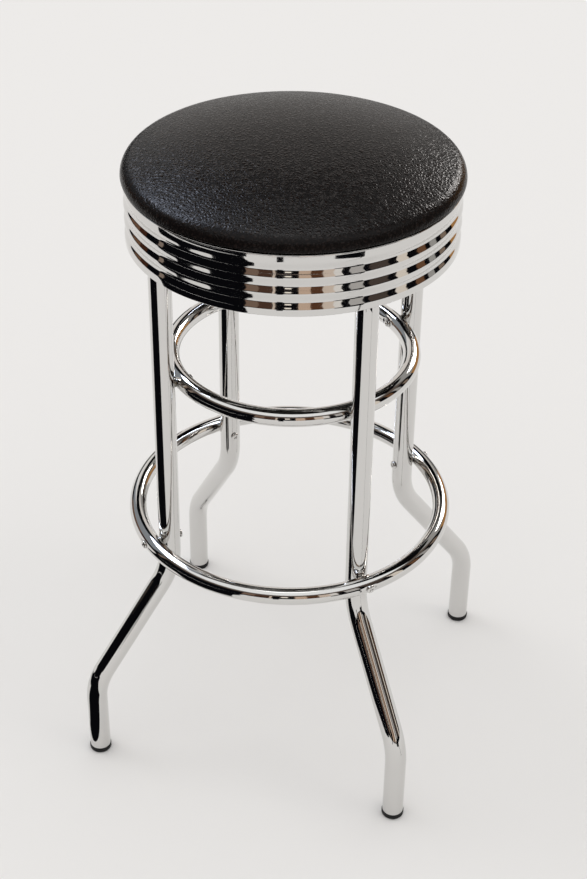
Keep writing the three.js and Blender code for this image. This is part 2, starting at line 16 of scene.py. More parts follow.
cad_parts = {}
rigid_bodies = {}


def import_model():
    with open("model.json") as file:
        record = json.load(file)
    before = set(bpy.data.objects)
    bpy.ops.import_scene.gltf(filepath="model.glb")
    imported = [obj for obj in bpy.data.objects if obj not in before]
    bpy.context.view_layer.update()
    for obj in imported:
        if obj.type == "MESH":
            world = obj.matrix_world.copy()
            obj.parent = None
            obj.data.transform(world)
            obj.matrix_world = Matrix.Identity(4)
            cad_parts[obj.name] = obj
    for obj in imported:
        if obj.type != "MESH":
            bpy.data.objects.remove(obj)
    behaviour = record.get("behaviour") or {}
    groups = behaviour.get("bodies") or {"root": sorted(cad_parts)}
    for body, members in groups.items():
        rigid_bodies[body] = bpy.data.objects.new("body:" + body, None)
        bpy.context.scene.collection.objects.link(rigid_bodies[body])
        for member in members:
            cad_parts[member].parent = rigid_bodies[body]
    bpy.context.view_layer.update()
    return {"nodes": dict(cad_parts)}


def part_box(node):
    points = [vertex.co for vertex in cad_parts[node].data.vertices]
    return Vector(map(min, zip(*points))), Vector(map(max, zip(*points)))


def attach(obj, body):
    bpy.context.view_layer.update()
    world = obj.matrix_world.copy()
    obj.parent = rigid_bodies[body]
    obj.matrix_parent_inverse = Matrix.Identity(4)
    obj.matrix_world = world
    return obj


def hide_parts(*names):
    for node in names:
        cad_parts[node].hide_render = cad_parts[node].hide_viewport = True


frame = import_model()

MM = 0.001
collection = bpy.context.scene.collection

# %% [markdown]
# ## Sizes
#
# A ring lies flat, so its box gives its height and its outer radius. A glide stands under the end of its
# leg, so the middle of its box gives the circle of the feet. What the boxes can't give, such as the bend
# radii of a leg, is written once here in millimetres.

# %% Sizes shared by several pieces
LEG_TUBE = 12.5 * MM
LEG_WALL = 1.5 * MM
RING_TUBE = 10 * MM
FIT_GAP = 0.3 * MM
LEG_NAMES = ("front_right", "rear_right", "rear_left", "front_left")
FIRST_LEG_TURN = math.radians(-45)
QUARTER = math.pi / 2


def middle(node):
    low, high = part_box(node)
    return (low + high) / 2


def top(node):
    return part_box(node)[1].z


def bottom(node):
    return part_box(node)[0].z


def ring_radius(node):
    """Radius of a ring's centre line."""
    low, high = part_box(node)
    return (high.x - low.x) / 2 - RING_TUBE


def leg_nodes(prefix):
    """Names of the four solids of one kind that belong to the legs."""
    return [f"{prefix}_{name}" for name in LEG_NAMES]


leg_circle = ring_radius("upper_ring") + RING_TUBE + FIT_GAP + LEG_TUBE
foot_circle = middle("foot_glide_front_right").xy.length
arm_height = top("leg_front_right") - LEG_TUBE
print(f"leg circle {leg_circle:.4f} m, foot circle {foot_circle:.4f} m, arms {arm_height:.4f} m up")

# %% [markdown]
# ## Helpers
#
# Shader trees and geometry trees are both made of nodes, so one small function adds a node to either. It
# takes the node's settings by name, and its inputs as values or as the outputs that feed them. Sums and
# moves from one range to another turn up in most trees, so they have functions of their own.

# %% Functions that add nodes
def add_node(tree, kind, inputs=None, **settings):
    """Adds a node. The keys of inputs are socket names or numbers."""
    node = tree.nodes.new(kind)
    for name, value in settings.items():
        setattr(node, name, value)
    for key, value in (inputs or {}).items():
        if isinstance(value, bpy.types.NodeSocket):
            tree.links.new(value, node.inputs[key])
        else:
            node.inputs[key].default_value = value
    return node


def calculator(tree):
    """A function that adds a Math node to this tree and gives its result."""
    def calculate(operation, *values):
        return add_node(tree, "ShaderNodeMath", dict(enumerate(values)), operation=operation).outputs[0]
    return calculate


def remap(tree, value, before, after, **settings):
    """A value moved from one range to another, each given by its two ends."""
    return add_node(tree, "ShaderNodeMapRange", {
        "Value": value, "From Min": before[0], "From Max": before[1],
        "To Min": after[0], "To Max": after[1]}, **settings).outputs["Result"]


def linear(colour):
    """An sRGB hex colour as the linear RGBA that a shader wants."""
    channels = [int(colour[i:i + 2], 16) / 255 for i in (1, 3, 5)]
    bent = [c / 12.92 if c <= 0.04045 else ((c + 0.055) / 1.055) ** 2.4 for c in channels]
    return (*bent, 1.0)


print("mid grey in linear light:", round(linear("#808080")[0], 3))

# %% [markdown]
# Round pieces are revolved from an outline. An outline is a list of radius and height pairs: it either
# starts and ends on the axis or closes on itself, so each result is a shut skin.

# %% Helpers that make meshes
POLE = 1e-7
SHARP_ANGLE = math.radians(32)
TUBE_SIDES = 48
SMALL_SIDES = 48
PIN_SIDES = 32


def polar(radius, turn, height):
    """A point at a radius and a turn about the upright axis, and at a height."""
    return radius * math.cos(turn), radius * math.sin(turn), height


def arc(x, y, radius_x, radius_y, start, end, steps):
    """Points on an arc of an outline, ends included, angles in degrees."""
    turns = [math.radians(start + (end - start) * i / steps) for i in range(steps + 1)]
    return [(x + radius_x * math.cos(t), y + radius_y * math.sin(t)) for t in turns]


def set_edges(mesh):
    """Smooth shading, with sharp edges where the faces meet at an angle."""
    for edge in mesh.edges:
        edge.smooth = len(edge.link_faces) != 2 or edge.calc_face_angle() < SHARP_ANGLE
    for face in mesh.faces:
        face.smooth = True


def piece(name, mesh, finish=None):
    """A new object at the origin from a bmesh. Copies get their finish from the recipe instead."""
    set_edges(mesh)
    data = bpy.data.meshes.new(name)
    mesh.to_mesh(data)
    mesh.free()
    if finish:
        data.materials.append(finish)
    made = bpy.data.objects.new(name, data)
    collection.objects.link(made)
    return made


def lathe(outline, segments=128):
    """A bmesh revolved about +Z from an outline of (radius, height) points."""
    mesh = bmesh.new()
    rings = []
    for radius, height in outline:
        turns = [2 * math.pi * i / segments for i in range(segments)]
        if radius < POLE:
            turns = [0]
        rings.append([mesh.verts.new(polar(radius, t, height)) for t in turns])
    pairs = list(zip(rings, rings[1:]))
    if outline[0][0] > POLE:
        pairs.append((rings[-1], rings[0]))
    for low, high in pairs:
        for i in range(segments):
            j = i + 1
            corners = [low[i % len(low)], low[j % len(low)], high[j % len(high)], high[i % len(high)]]
            corners = list(dict.fromkeys(corners))
            if len(corners) > 2:
                mesh.faces.new(corners)
    bmesh.ops.recalc_face_normals(mesh, faces=mesh.faces)
    return mesh


def bridge(mesh, low, high, closed=True):
    """Faces between two rows of points, which are closed loops or open lines."""
    for i in range(len(low) if closed else len(low) - 1):
        j = (i + 1) % len(low)
        mesh.faces.new((low[i], low[j], high[j], high[i]))


def prism(low, high):
    """A shut bmesh between two outlines whose points match one to one."""
    mesh = bmesh.new()
    rims = [[mesh.verts.new(point) for point in outline] for outline in (low, high)]
    bridge(mesh, *rims)
    mesh.faces.new(reversed(rims[0]))
    mesh.faces.new(rims[1])
    bmesh.ops.recalc_face_normals(mesh, faces=mesh.faces)
    return mesh


def place(made, body, slot, *nodes):
    """Says which body carries a piece and which solids it stands for. The slot argument is not used."""
    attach(made, body)
    if nodes:
        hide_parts(*nodes)
    print(f"{made.name}: {len(made.data.polygons)} faces on {body}")
    return made


# %% [markdown]
# A Geometry Nodes tree is a recipe with named inputs. This helper gives a recipe its sizes, runs it once
# on an empty object and keeps the result as a plain mesh, which is what an exporter can read.

# %% Helpers for Geometry Nodes
SOCKETS = {
    float: "NodeSocketFloat", int: "NodeSocketInt",
    bpy.types.Object: "NodeSocketObject", bpy.types.Material: "NodeSocketMaterial",
}


def new_recipe(name, **inputs):
    """An empty tree with named inputs. Gives the tree, its input node's outputs and its output node."""
    tree = bpy.data.node_groups.new(name, "GeometryNodeTree")
    tree.interface.new_socket("Geometry", in_out="OUTPUT", socket_type="NodeSocketGeometry")
    for label, kind in inputs.items():
        tree.interface.new_socket(label, in_out="INPUT", socket_type=SOCKETS[kind])
    sizes = tree.nodes.new("NodeGroupInput").outputs
    return tree, sizes, tree.nodes.new("NodeGroupOutput")


def sweep(tree, path, radius):
    """The outer skin of a tube along a curve."""
    section = add_node(tree, "GeometryNodeCurvePrimitiveCircle", {
        "Resolution": TUBE_SIDES, "Radius": radius})
    return add_node(tree, "GeometryNodeCurveToMesh", {
        "Curve": path.outputs["Curve"], "Profile Curve": section.outputs["Curve"]}).outputs["Mesh"]


def end_recipe(tree, geometry, finish, output):
    """The end of a recipe: instances become a real mesh, and the mesh gets its finish."""
    real = add_node(tree, "GeometryNodeRealizeInstances", {"Geometry": geometry})
    done = add_node(tree, "GeometryNodeSetMaterial", {
        "Geometry": real.outputs["Geometry"], "Material": finish})
    tree.links.new(done.outputs["Geometry"], output.inputs["Geometry"])
    return tree


def add_wall(made, thickness):
    """Gives a skin its wall, inwards from the outer face."""
    wall = made.modifiers.new("wall", "SOLIDIFY")
    wall.thickness = thickness
    wall.offset = -1


def bake(made):
    """Puts the plain mesh that an object's modifiers give in their place."""
    depsgraph = bpy.context.evaluated_depsgraph_get()
    plain = bpy.data.meshes.new_from_object(made.evaluated_get(depsgraph), depsgraph=depsgraph)
    made.modifiers.clear()
    made.data = plain


def run_recipe(name, tree, solidify=0.0, **values):
    """Runs a recipe with these values and returns its plain mesh object."""
    made = bpy.data.objects.new(name, bpy.data.meshes.new(name))
    collection.objects.link(made)
    nodes = made.modifiers.new("recipe", "NODES")
    nodes.node_group = tree
    for item in tree.interface.items_tree:
        if item.in_out == "INPUT":
            nodes[item.identifier] = values[item.name]
    if solidify:
        add_wall(made, solidify)
    bake(made)
    made.data.name = name
    return made


def soften(made):
    """Sets the sharp edges again on a mesh that modifiers made."""
    mesh = bmesh.new()
    mesh.from_mesh(made.data)
    set_edges(mesh)
    mesh.to_mesh(made.data)
    mesh.free()
    return made


# %% [markdown]
# ## Camera
#
# The view looks down on the stool from the front right. A long lens keeps the legs nearly parallel. The
# camera is turned by its heading, its pitch and a slight roll, and its focal length is written in pixels
# of the 587 by 879 picture, which the sensor's long side turns into millimetres.

# %% Camera
IMAGE_LONG_SIDE = 879
FOCAL_PIXELS = 1683.56
SENSOR_MM = 36
CAMERA_TURN = math.radians(-73.81)
CAMERA_DISTANCE = 1629.4 * MM
CAMERA_HEIGHT = 1520.63 * MM
CAMERA_YAW = math.radians(0.13)
CAMERA_PITCH = math.radians(-34.98)
CAMERA_ROLL = math.radians(0.76)


def camera_axes():
    """The camera's right, up and backward directions."""
    heading = CAMERA_TURN + math.pi - CAMERA_YAW
    level = math.cos(CAMERA_PITCH)
    ahead = Vector(polar(level, heading, math.sin(CAMERA_PITCH)))
    right = Vector((math.sin(heading), -math.cos(heading), 0))
    up = right.cross(ahead)
    cos, sin = math.cos(CAMERA_ROLL), math.sin(CAMERA_ROLL)
    return right * cos + up * sin, up * cos - right * sin, -ahead


camera_data = bpy.data.cameras.new("camera")
camera_data.sensor_width = SENSOR_MM
camera_data.lens = FOCAL_PIXELS * SENSOR_MM / IMAGE_LONG_SIDE
camera = bpy.data.objects.new("camera", camera_data)
camera.matrix_world = Matrix(camera_axes()).transposed().to_4x4()
camera.location = polar(CAMERA_DISTANCE, CAMERA_TURN, CAMERA_HEIGHT)
collection.objects.link(camera)
bpy.context.scene.camera = camera
print(f"lens {camera_data.lens:.2f} mm at {tuple(round(v, 3) for v in camera.location)}")

# %% [markdown]
# ## Finishes
#
# Each finish starts from what the real one is. A material here is a Principled shader whose even values
# are set on the shader itself, with patterns only where the real surface varies.

# %% Start of a finish
PLAIN_SPECULAR = 0.5


def new_finish(name, colour, metallic, roughness, specular=PLAIN_SPECULAR):
    """A material with its Principled shader, its tree and its Object coordinates."""
    finish = bpy.data.materials.new(name)
    finish.use_nodes = True
    tree = finish.node_tree
    shader = tree.nodes["Principled BSDF"]
    for label, value in (("Base Color", linear(colour)), ("Metallic", metallic),
                         ("Roughness", roughness), ("Specular IOR Level", specular)):
        shader.inputs[label].default_value = value
    finish.diffuse_color = linear(colour)
    coordinates = add_node(tree, "ShaderNodeTexCoord").outputs["Object"]
    return finish, tree, shader, coordinates


def grain(tree, where, size, detail, output="Fac", **inputs):
    """A noise pattern whose features have a real size."""
    return add_node(tree, "ShaderNodeTexNoise", {
        "Vector": where, "Scale": 1 / size, "Detail": detail, **inputs}).outputs[output]


def ripple(tree, shader, height, depth):
    """Feeds a height pattern to a shader as a bump of a real depth."""
    bump = add_node(tree, "ShaderNodeBump", {"Height": height, "Strength": 1.0, "Distance": depth})
    tree.links.new(bump.outputs["Normal"], shader.inputs["Normal"])


def vary_roughness(tree, shader, pattern, before, after):
    """Lets a pattern move the roughness between two values."""
    tree.links.new(remap(tree, pattern, before, after), shader.inputs["Roughness"])


def vary_colour(tree, shader, pattern, low, high):
    """Lets a pattern mix the colour from two."""
    mixed = add_node(tree, "ShaderNodeMix", {"Factor": pattern, "A": low, "B": high}, data_type="RGBA")
    tree.links.new(mixed.outputs["Result"], shader.inputs["Base Color"])

# %% [markdown]
# **Bright chrome.** The steel tube is polished, plated with nickel and then with a thin skin of chromium.
# That gives the eye a mirror with a faint grey cast. Polishing leaves very shallow waves a centimetre or
# so long, which make straight reflections wander a little, and fine wear that dulls it in places.

# %% Chrome
CHROME_WAVE = 16 * MM
CHROME_WAVE_DEPTH = 0.012 * MM
CHROME_WEAR = 6 * MM
WORN = 2.2  # times as rough as where the polish is whole


def chrome_finish(name, roughness):
    finish, tree, shader, coordinates = new_finish(name, "#D9D8D6", 1.0, roughness)
    ripple(tree, shader, grain(tree, coordinates, CHROME_WAVE, 1.0), CHROME_WAVE_DEPTH)
    wear = grain(tree, coordinates, CHROME_WEAR, 5.0)
    vary_roughness(tree, shader, wear, (0.35, 0.75), (roughness, roughness * WORN))
    return finish


chrome = chrome_finish("bright_chrome_plate", 0.035)
print("finish:", chrome.name)

# %% [markdown]
# ** Grained vinyl.** The cover is a PVC cloth whose skin is embossed with a pebbled leather grain and
# stretched over foam. Each pebble is about 4 mm across with a soft crease round it. Black PVC shows mostly
# by its sheen, so the grain has to come from a bump, and the creases are a little rougher than the tops.
# The creases are also coloured darker than the tops, which is painted shade.

# %% Vinyl
PEBBLE = 4.2 * MM
PEBBLE_DEPTH = 0.19 * MM
PEBBLE_DRIFT = 2 * PEBBLE
DRIFT_LENGTH = PEBBLE / 0.4
CREASE_HALF = 0.38  # of a pebble
PORE = 0.9 * MM
PORE_DEPTH = 0.08  # of a pebble's depth
CREASE_ROUGHNESS, TOP_ROUGHNESS = 0.3, 0.12


def vinyl_finish():
    finish, tree, shader, coordinates = new_finish(
        "black_grained_vinyl", "#110F0F", 0.0, 0.2, specular=0.12)
    drift = grain(tree, coordinates, DRIFT_LENGTH, 2.0, output="Color")
    wander = add_node(tree, "ShaderNodeVectorMath", {0: drift, 1: (0.5, 0.5, 0.5)}, operation="SUBTRACT")
    pushed = add_node(tree, "ShaderNodeVectorMath", {
        0: wander.outputs["Vector"], 1: (PEBBLE_DRIFT, PEBBLE_DRIFT, PEBBLE_DRIFT), 2: coordinates},
        operation="MULTIPLY_ADD")
    cells = add_node(tree, "ShaderNodeTexVoronoi", {
        "Vector": pushed.outputs["Vector"], "Scale": 1 / PEBBLE}, feature="DISTANCE_TO_EDGE")
    domes = remap(tree, cells.outputs["Distance"], (0.0, CREASE_HALF), (0.0, 1.0),
                  interpolation_type="SMOOTHSTEP")
    pores = grain(tree, coordinates, PORE, 3.0)
    ripple(tree, shader, calculator(tree)("MULTIPLY_ADD", pores, PORE_DEPTH, domes), PEBBLE_DEPTH)
    vary_roughness(tree, shader, domes, (0.0, 1.0), (CREASE_ROUGHNESS, TOP_ROUGHNESS))
    # Painted shade: the creases get a darker colour than the pebble tops
    vary_colour(tree, shader, domes, linear("#0B0808"), linear("#1C1614"))
    return finish


vinyl = vinyl_finish()
print("finish:", vinyl.name)

# %% [markdown]
# **Zinc plate.** Bolts, nuts, staples, lugs and the rivet are electroplated with bright zinc, a soft grey
# metal with a slightly mottled sheen. The pressed swivel plates are zinc too, but passivated black, because
# the seat's underside is dark where the upper ring mirrors it. Ball steel is the same finish, but smoother.

# %% Zinc plate
ZINC_MOTTLE = 5 * MM
SMOOTHEST, DULLEST = 0.8, 1.4  # times the even roughness


def zinc_finish(name, colour, roughness, other="#A9A79B"):
    finish, tree, shader, coordinates = new_finish(name, colour, 1.0, roughness)
    mottle = grain(tree, coordinates, ZINC_MOTTLE, 4.0)
    vary_roughness(tree, shader, mottle, (0.3, 0.7), (roughness * SMOOTHEST, roughness * DULLEST))
    vary_colour(tree, shader, mottle, linear(colour), linear(other))
    return finish


zinc = zinc_finish("bright_zinc_plate", "#BDBEBB", 0.32)
black_zinc = zinc_finish("black_passivated_zinc", "#1C1B1B", 0.42, other="#25221E")
ball_steel = zinc_finish("polished_ball_steel", "#CFD0D0", 0.14)
print("finishes:", zinc.name, black_zinc.name, ball_steel.name)

# %% [markdown]
# **Moulded black plastic.** The glides are injection moulded with a fine spark-eroded texture, scuffed
# grey where they rub on the floor.

# %% Black plastic
SPARK_TEXTURE = 0.6 * MM
SPARK_DEPTH = 0.05 * MM
SCUFF_HEIGHT = 0.8 * MM
SCUFF_SHARE = 0.6


def plastic_finish():
    finish, tree, shader, coordinates = new_finish(
        "moulded_black_plastic", "#0C0C0D", 0.0, 0.5, specular=0.25)
    ripple(tree, shader, grain(tree, coordinates, SPARK_TEXTURE, 2.0), SPARK_DEPTH)
    height = add_node(tree, "ShaderNodeSeparateXYZ", {"Vector": coordinates}).outputs["Z"]
    scuff = remap(tree, height, (0.0, SCUFF_HEIGHT), (SCUFF_SHARE, 0.0))
    vary_colour(tree, shader, scuff, linear("#0C0C0D"), linear("#2A2928"))
    return finish


plastic = plastic_finish()
print("finish:", plastic.name)

# %% [markdown]
# **Plywood.** The seat board is rotary-cut ply, stained black so that nothing pale shows in the chrome
# below it. Its grain runs one way in long, low flames, because the veneer is peeled off round the log, with
# short darker flecks between them, and the stain leaves both just visible.

# %% Plywood
GRAIN_WIDTH = 14 * MM
GRAIN_STRETCH = 9
GRAIN_TURN = math.radians(20)
FLECK_WIDTH = 0.9 * MM
FLECK_DEPTH = 0.08 * MM
FLECK_SHARE = 0.4


def plywood_finish():
    finish, tree, shader, coordinates = new_finish("black_stained_plywood", "#15120F", 0.0, 0.62)
    along = add_node(tree, "ShaderNodeMapping", {
        "Vector": coordinates, "Scale": (1 / GRAIN_STRETCH, 1.0, 1.0), "Rotation": (0, 0, GRAIN_TURN)})
    flames = grain(tree, along.outputs["Vector"], GRAIN_WIDTH, 3.0, Distortion=1.2)
    flecks = grain(tree, along.outputs["Vector"], FLECK_WIDTH, 2.0)
    colours = add_node(tree, "ShaderNodeValToRGB", {"Fac": flames})
    stops = ((0.35, "#0F0D0B"), (0.65, "#1D1814"))
    for element, (position, colour) in zip(colours.color_ramp.elements, stops):
        element.position, element.color = position, linear(colour)
    dark = remap(tree, flecks, (0.62, 0.72), (0.0, FLECK_SHARE))
    vary_colour(tree, shader, dark, colours.outputs["Color"], linear("#080706"))
    ripple(tree, shader, flecks, FLECK_DEPTH)
    return finish


plywood = plywood_finish()
print("finish:", plywood.name)

# %% [markdown]
# ## Legs
#
# Each leg is one length of tube in a bending machine: a level arm under the seat, a quarter turn, a long
# upright run, and two opposite bends that kick the foot outwards. A path of straight runs whose corners
# are rounded is exactly what the Fillet Curve node makes. The recipe sets five corners, rounds them, sweeps
# the tube's circle along them and copies the leg four times round the seat.

# %% Leg sizes
ARM_END = 30 * MM
TOP_BEND = 38 * MM
KNEE_DROP = 18 * MM
KNEE_BEND = 80 * MM
ANKLE_BEND = 70 * MM
SPLAY = math.radians(36.2)
BEND_STEPS = 20
knee_height = middle("foot_ring").z - KNEE_DROP - KNEE_BEND * math.tan(SPLAY / 2)
ankle_height = knee_height - (foot_circle - leg_circle) / math.tan(SPLAY)
print(f"corner heights: knee {knee_height:.4f} m, ankle {ankle_height:.4f} m")


# %% Recipe for the legs
def leg_recipe():
    tree, sizes, output = new_recipe(
        "bent tube legs", TubeRadius=float, ArmEnd=float, LegCircle=float, FootCircle=float,
        ArmHeight=float, KneeHeight=float, AnkleHeight=float, FootHeight=float, TopBend=float,
        KneeBend=float, AnkleBend=float, FirstTurn=float, Legs=int, Finish=bpy.types.Material)
    corners = [("ArmEnd", "ArmHeight"), ("LegCircle", "ArmHeight"), ("LegCircle", "KneeHeight"),
               ("FootCircle", "AnkleHeight"), ("FootCircle", "FootHeight")]
    index = add_node(tree, "GeometryNodeInputIndex").outputs[0]
    where = add_node(tree, "GeometryNodeIndexSwitch", {"Index": index}, data_type="VECTOR")
    bends = add_node(tree, "GeometryNodeIndexSwitch", {"Index": index}, data_type="FLOAT")
    for switch in (where, bends):
        while len(switch.index_switch_items) < len(corners):
            switch.index_switch_items.new()
    for i, (across, up) in enumerate(corners):
        corner = add_node(tree, "ShaderNodeCombineXYZ", {"X": sizes[across], "Z": sizes[up]})
        tree.links.new(corner.outputs[0], where.inputs[str(i)])
    for i, bend in enumerate(("TopBend", "KneeBend", "AnkleBend")):
        tree.links.new(sizes[bend], bends.inputs[str(i + 1)])
    line = add_node(tree, "GeometryNodeMeshLine", {"Count": len(corners)})
    bent = add_node(tree, "GeometryNodeSetPosition", {
        "Geometry": line.outputs["Mesh"], "Position": where.outputs[0]})
    path = add_node(tree, "GeometryNodeMeshToCurve", {"Mesh": bent.outputs["Geometry"]})
    rounded = add_node(tree, "GeometryNodeFilletCurve", {
        "Curve": path.outputs["Curve"], "Count": BEND_STEPS, "Radius": bends.outputs[0]}, mode="POLY")
    turn = calculator(tree)("MULTIPLY_ADD", index, QUARTER, sizes["FirstTurn"])
    turned = add_node(tree, "ShaderNodeCombineXYZ", {"Z": turn})
    spots = add_node(tree, "GeometryNodePoints", {"Count": sizes["Legs"]})
    copies = add_node(tree, "GeometryNodeInstanceOnPoints", {
        "Points": spots.outputs[0], "Instance": sweep(tree, rounded, sizes["TubeRadius"]),
        "Rotation": turned.outputs[0]})
    return end_recipe(tree, copies.outputs["Instances"], sizes["Finish"], output)


legs = run_recipe(
    "leg_tubes", leg_recipe(), solidify=LEG_WALL, TubeRadius=LEG_TUBE, ArmEnd=ARM_END,
    LegCircle=leg_circle, FootCircle=foot_circle, ArmHeight=arm_height, KneeHeight=knee_height,
    AnkleHeight=ankle_height, FootHeight=bottom("leg_front_right"), TopBend=TOP_BEND,
    KneeBend=KNEE_BEND, AnkleBend=ANKLE_BEND, FirstTurn=FIRST_LEG_TURN, Legs=len(LEG_NAMES),
    Finish=chrome)
place(soften(legs), "frame", "chrome", *leg_nodes("leg"))

# %% [markdown]
# ## Rings
#
# A ring is rolled from thinner tube and its joint is welded, ground and plated over. Where a screw pulls it
# against a leg, the tube is pressed flat under the head, and chrome makes that small dimple easy to see.
# The recipe sweeps a circle round a circle and then pushes in the skin near the four screws.

# %% Recipe for a ring
RING_STEPS = 640
FLAT_FADE = 1.7  # times the flat's radius, where the push ends


def ring_recipe():
    tree, sizes, output = new_recipe(
        "ring with four flats", RingRadius=float, RingHeight=float, TubeRadius=float, FlatDepth=float,
        FlatRadius=float, Side=float, Finish=bpy.types.Material)
    maths = calculator(tree)

    def length(a, b):
        return maths("SQRT", maths("ADD", maths("POWER", a, 2.0), maths("POWER", b, 2.0)))

    path = add_node(tree, "GeometryNodeCurvePrimitiveCircle", {
        "Resolution": RING_STEPS, "Radius": sizes["RingRadius"]})
    position = add_node(tree, "GeometryNodeInputPosition").outputs[0]
    x, y, z = add_node(tree, "ShaderNodeSeparateXYZ", {"Vector": position}).outputs
    around = maths("ARCTAN2", y, x)
    off_leg = maths("SUBTRACT", maths("FLOORED_MODULO", around, QUARTER), QUARTER / 2)
    leg_turn = maths("SUBTRACT", around, off_leg)
    reach = length(x, y)
    out = maths("MULTIPLY", reach, maths("COSINE", off_leg))
    from_screw = length(maths("MULTIPLY", reach, maths("SINE", off_leg)), z)
    half = maths("SUBTRACT", sizes["TubeRadius"], sizes["FlatDepth"])
    flat = maths("MULTIPLY_ADD", half, sizes["Side"], sizes["RingRadius"])
    proud = maths("MAXIMUM", maths("MULTIPLY", maths("SUBTRACT", out, flat), sizes["Side"]), 0.0)
    fade_end = maths("MULTIPLY", sizes["FlatRadius"], FLAT_FADE)
    fade = remap(tree, from_screw, (sizes["FlatRadius"], fade_end), (1.0, 0.0),
                 interpolation_type="SMOOTHSTEP")
    push = maths("MULTIPLY", maths("MULTIPLY", proud, fade), maths("MULTIPLY", sizes["Side"], -1.0))
    offset = add_node(tree, "ShaderNodeCombineXYZ", {
        "X": maths("MULTIPLY", push, maths("COSINE", leg_turn)),
        "Y": maths("MULTIPLY", push, maths("SINE", leg_turn))})
    dimpled = add_node(tree, "GeometryNodeSetPosition", {
        "Geometry": sweep(tree, path, sizes["TubeRadius"]), "Offset": offset.outputs[0]})
    lift = add_node(tree, "ShaderNodeCombineXYZ", {"Z": sizes["RingHeight"]})
    lifted = add_node(tree, "GeometryNodeTransform", {
        "Geometry": dimpled.outputs["Geometry"], "Translation": lift.outputs[0]})
    return end_recipe(tree, lifted.outputs["Geometry"], sizes["Finish"], output)


# %% Both rings
FLAT_DEPTH = 0.8 * MM
FLAT_RADIUS = 5.6 * MM
INWARD, OUTWARD = -1.0, 1.0
ring_tree = ring_recipe()
for node, side in (("upper_ring", INWARD), ("foot_ring", OUTWARD)):
    ring = run_recipe(
        node + "_tube", ring_tree, RingRadius=ring_radius(node), RingHeight=middle(node).z,
        TubeRadius=RING_TUBE,
        FlatDepth=FLAT_DEPTH, FlatRadius=FLAT_RADIUS, Side=side, Finish=chrome)
    place(soften(ring), "frame", "chrome", node)

# %% [markdown]
# ## What goes round in a ring
#
# Screws, bolts, glides, balls and staples all stand in a circle, so one recipe serves them all. It copies a
# piece round a circle at a height and turns each copy to face outwards. A seeded twist about the copy's own
# axis comes on top, because nobody lines up the recesses of screws.

# %% Recipe for copies in a circle
def circle_recipe():
    tree, sizes, output = new_recipe(
        "copies in a circle", Piece=bpy.types.Object, Copies=int, Radius=float, Height=float,
        FirstTurn=float, Twist=float, Spin=float, Seed=int, Finish=bpy.types.Material)
    maths = calculator(tree)
    index = add_node(tree, "GeometryNodeInputIndex").outputs[0]
    step = maths("DIVIDE", 2 * math.pi, sizes["Copies"])
    turn = maths("MULTIPLY_ADD", index, step, sizes["FirstTurn"])
    spot = add_node(tree, "ShaderNodeCombineXYZ", {
        "X": maths("MULTIPLY", maths("COSINE", turn), sizes["Radius"]),
        "Y": maths("MULTIPLY", maths("SINE", turn), sizes["Radius"]),
        "Z": sizes["Height"]})
    chance = add_node(
        tree, "FunctionNodeRandomValue", {"Seed": sizes["Seed"]}, data_type="FLOAT").outputs[1]
    facing = add_node(tree, "ShaderNodeCombineXYZ", {
        "X": maths("MULTIPLY", chance, sizes["Twist"]),
        "Z": maths("MULTIPLY_ADD", chance, sizes["Spin"], turn)})
    spots = add_node(tree, "GeometryNodePoints", {"Count": sizes["Copies"], "Position": spot.outputs[0]})
    source = add_node(tree, "GeometryNodeObjectInfo", {"Object": sizes["Piece"]})
    copies = add_node(tree, "GeometryNodeInstanceOnPoints", {
        "Points": spots.outputs[0], "Instance": source.outputs["Geometry"],
        "Rotation": facing.outputs[0]})
    return end_recipe(tree, copies.outputs["Instances"], sizes["Finish"], output)


circle_tree = circle_recipe()


def in_a_circle(name, one, finish, radius, height, copies=len(LEG_NAMES), first=FIRST_LEG_TURN,
                twist=0.0, spin=0.0, seed=1):
    """Copies one piece round a circle and removes the original."""
    made = run_recipe(
        name, circle_tree, Piece=one, Copies=copies, Radius=radius, Height=height, FirstTurn=first,
        Twist=twist, Spin=spin, Seed=seed, Finish=finish)
    bpy.data.objects.remove(one)
    return soften(made)


print("recipe:", circle_tree.name)

# %% [markdown]
# ## Screws
#
# The ring screws have pan heads with a cross recess: a low dome with a steep rounded edge. The head is
# revolved, and a tapered cross is cut out of it with a Boolean. Ring screws are modelled along X and the
# screws under the seat along Z, their seat at zero, so the recipe only has to turn them.

# %% One screw
HEAD_RADIUS = 6 * MM
HEAD_HEIGHT = 3.2 * MM
SHANK_RADIUS = 3 * MM
CROSS_REACH = 3.3 * MM
CROSS_WIDTH = 0.75 * MM
CROSS_DEPTH = 1.9 * MM
CROSS_TAPER = 0.55


def head_outline(radius, height, shank, length):
    """Half section of a pan head and its shank, the head's underside at zero and its top upwards. The
    shares below draw a low dome that turns over a tight round into a steep edge."""
    edge = min(height * 0.55, radius * 0.3)
    dome = arc(0, height - edge * 0.45, radius - edge * 0.4, edge * 0.45, 90, 35, 5)
    side = arc(radius - edge, height - edge * 1.25, edge, edge * 0.95, 50, 0, 5)
    return [(0, -length), (shank, -length), (shank, 0), (radius, 0),
            *reversed(side), *reversed(dome[1:]), (0, height)]


def cross_cutter(top_height, scale):
    """A cross that narrows downwards, to be cut out of a head."""
    reach, width, depth = CROSS_REACH * scale, CROSS_WIDTH * scale, CROSS_DEPTH * scale
    corners = [(reach, -width), (reach, width), (width, width), (width, reach), (-width, reach),
               (-width, width), (-reach, width), (-reach, -width), (-width, -width), (-width, -reach),
               (width, -reach), (width, -width)]
    levels = ((top_height - depth, CROSS_TAPER), (top_height + depth, 2 - CROSS_TAPER))
    rims = [[(x * share, y * share, height) for x, y in corners] for height, share in levels]
    return piece("cutter", prism(*rims))


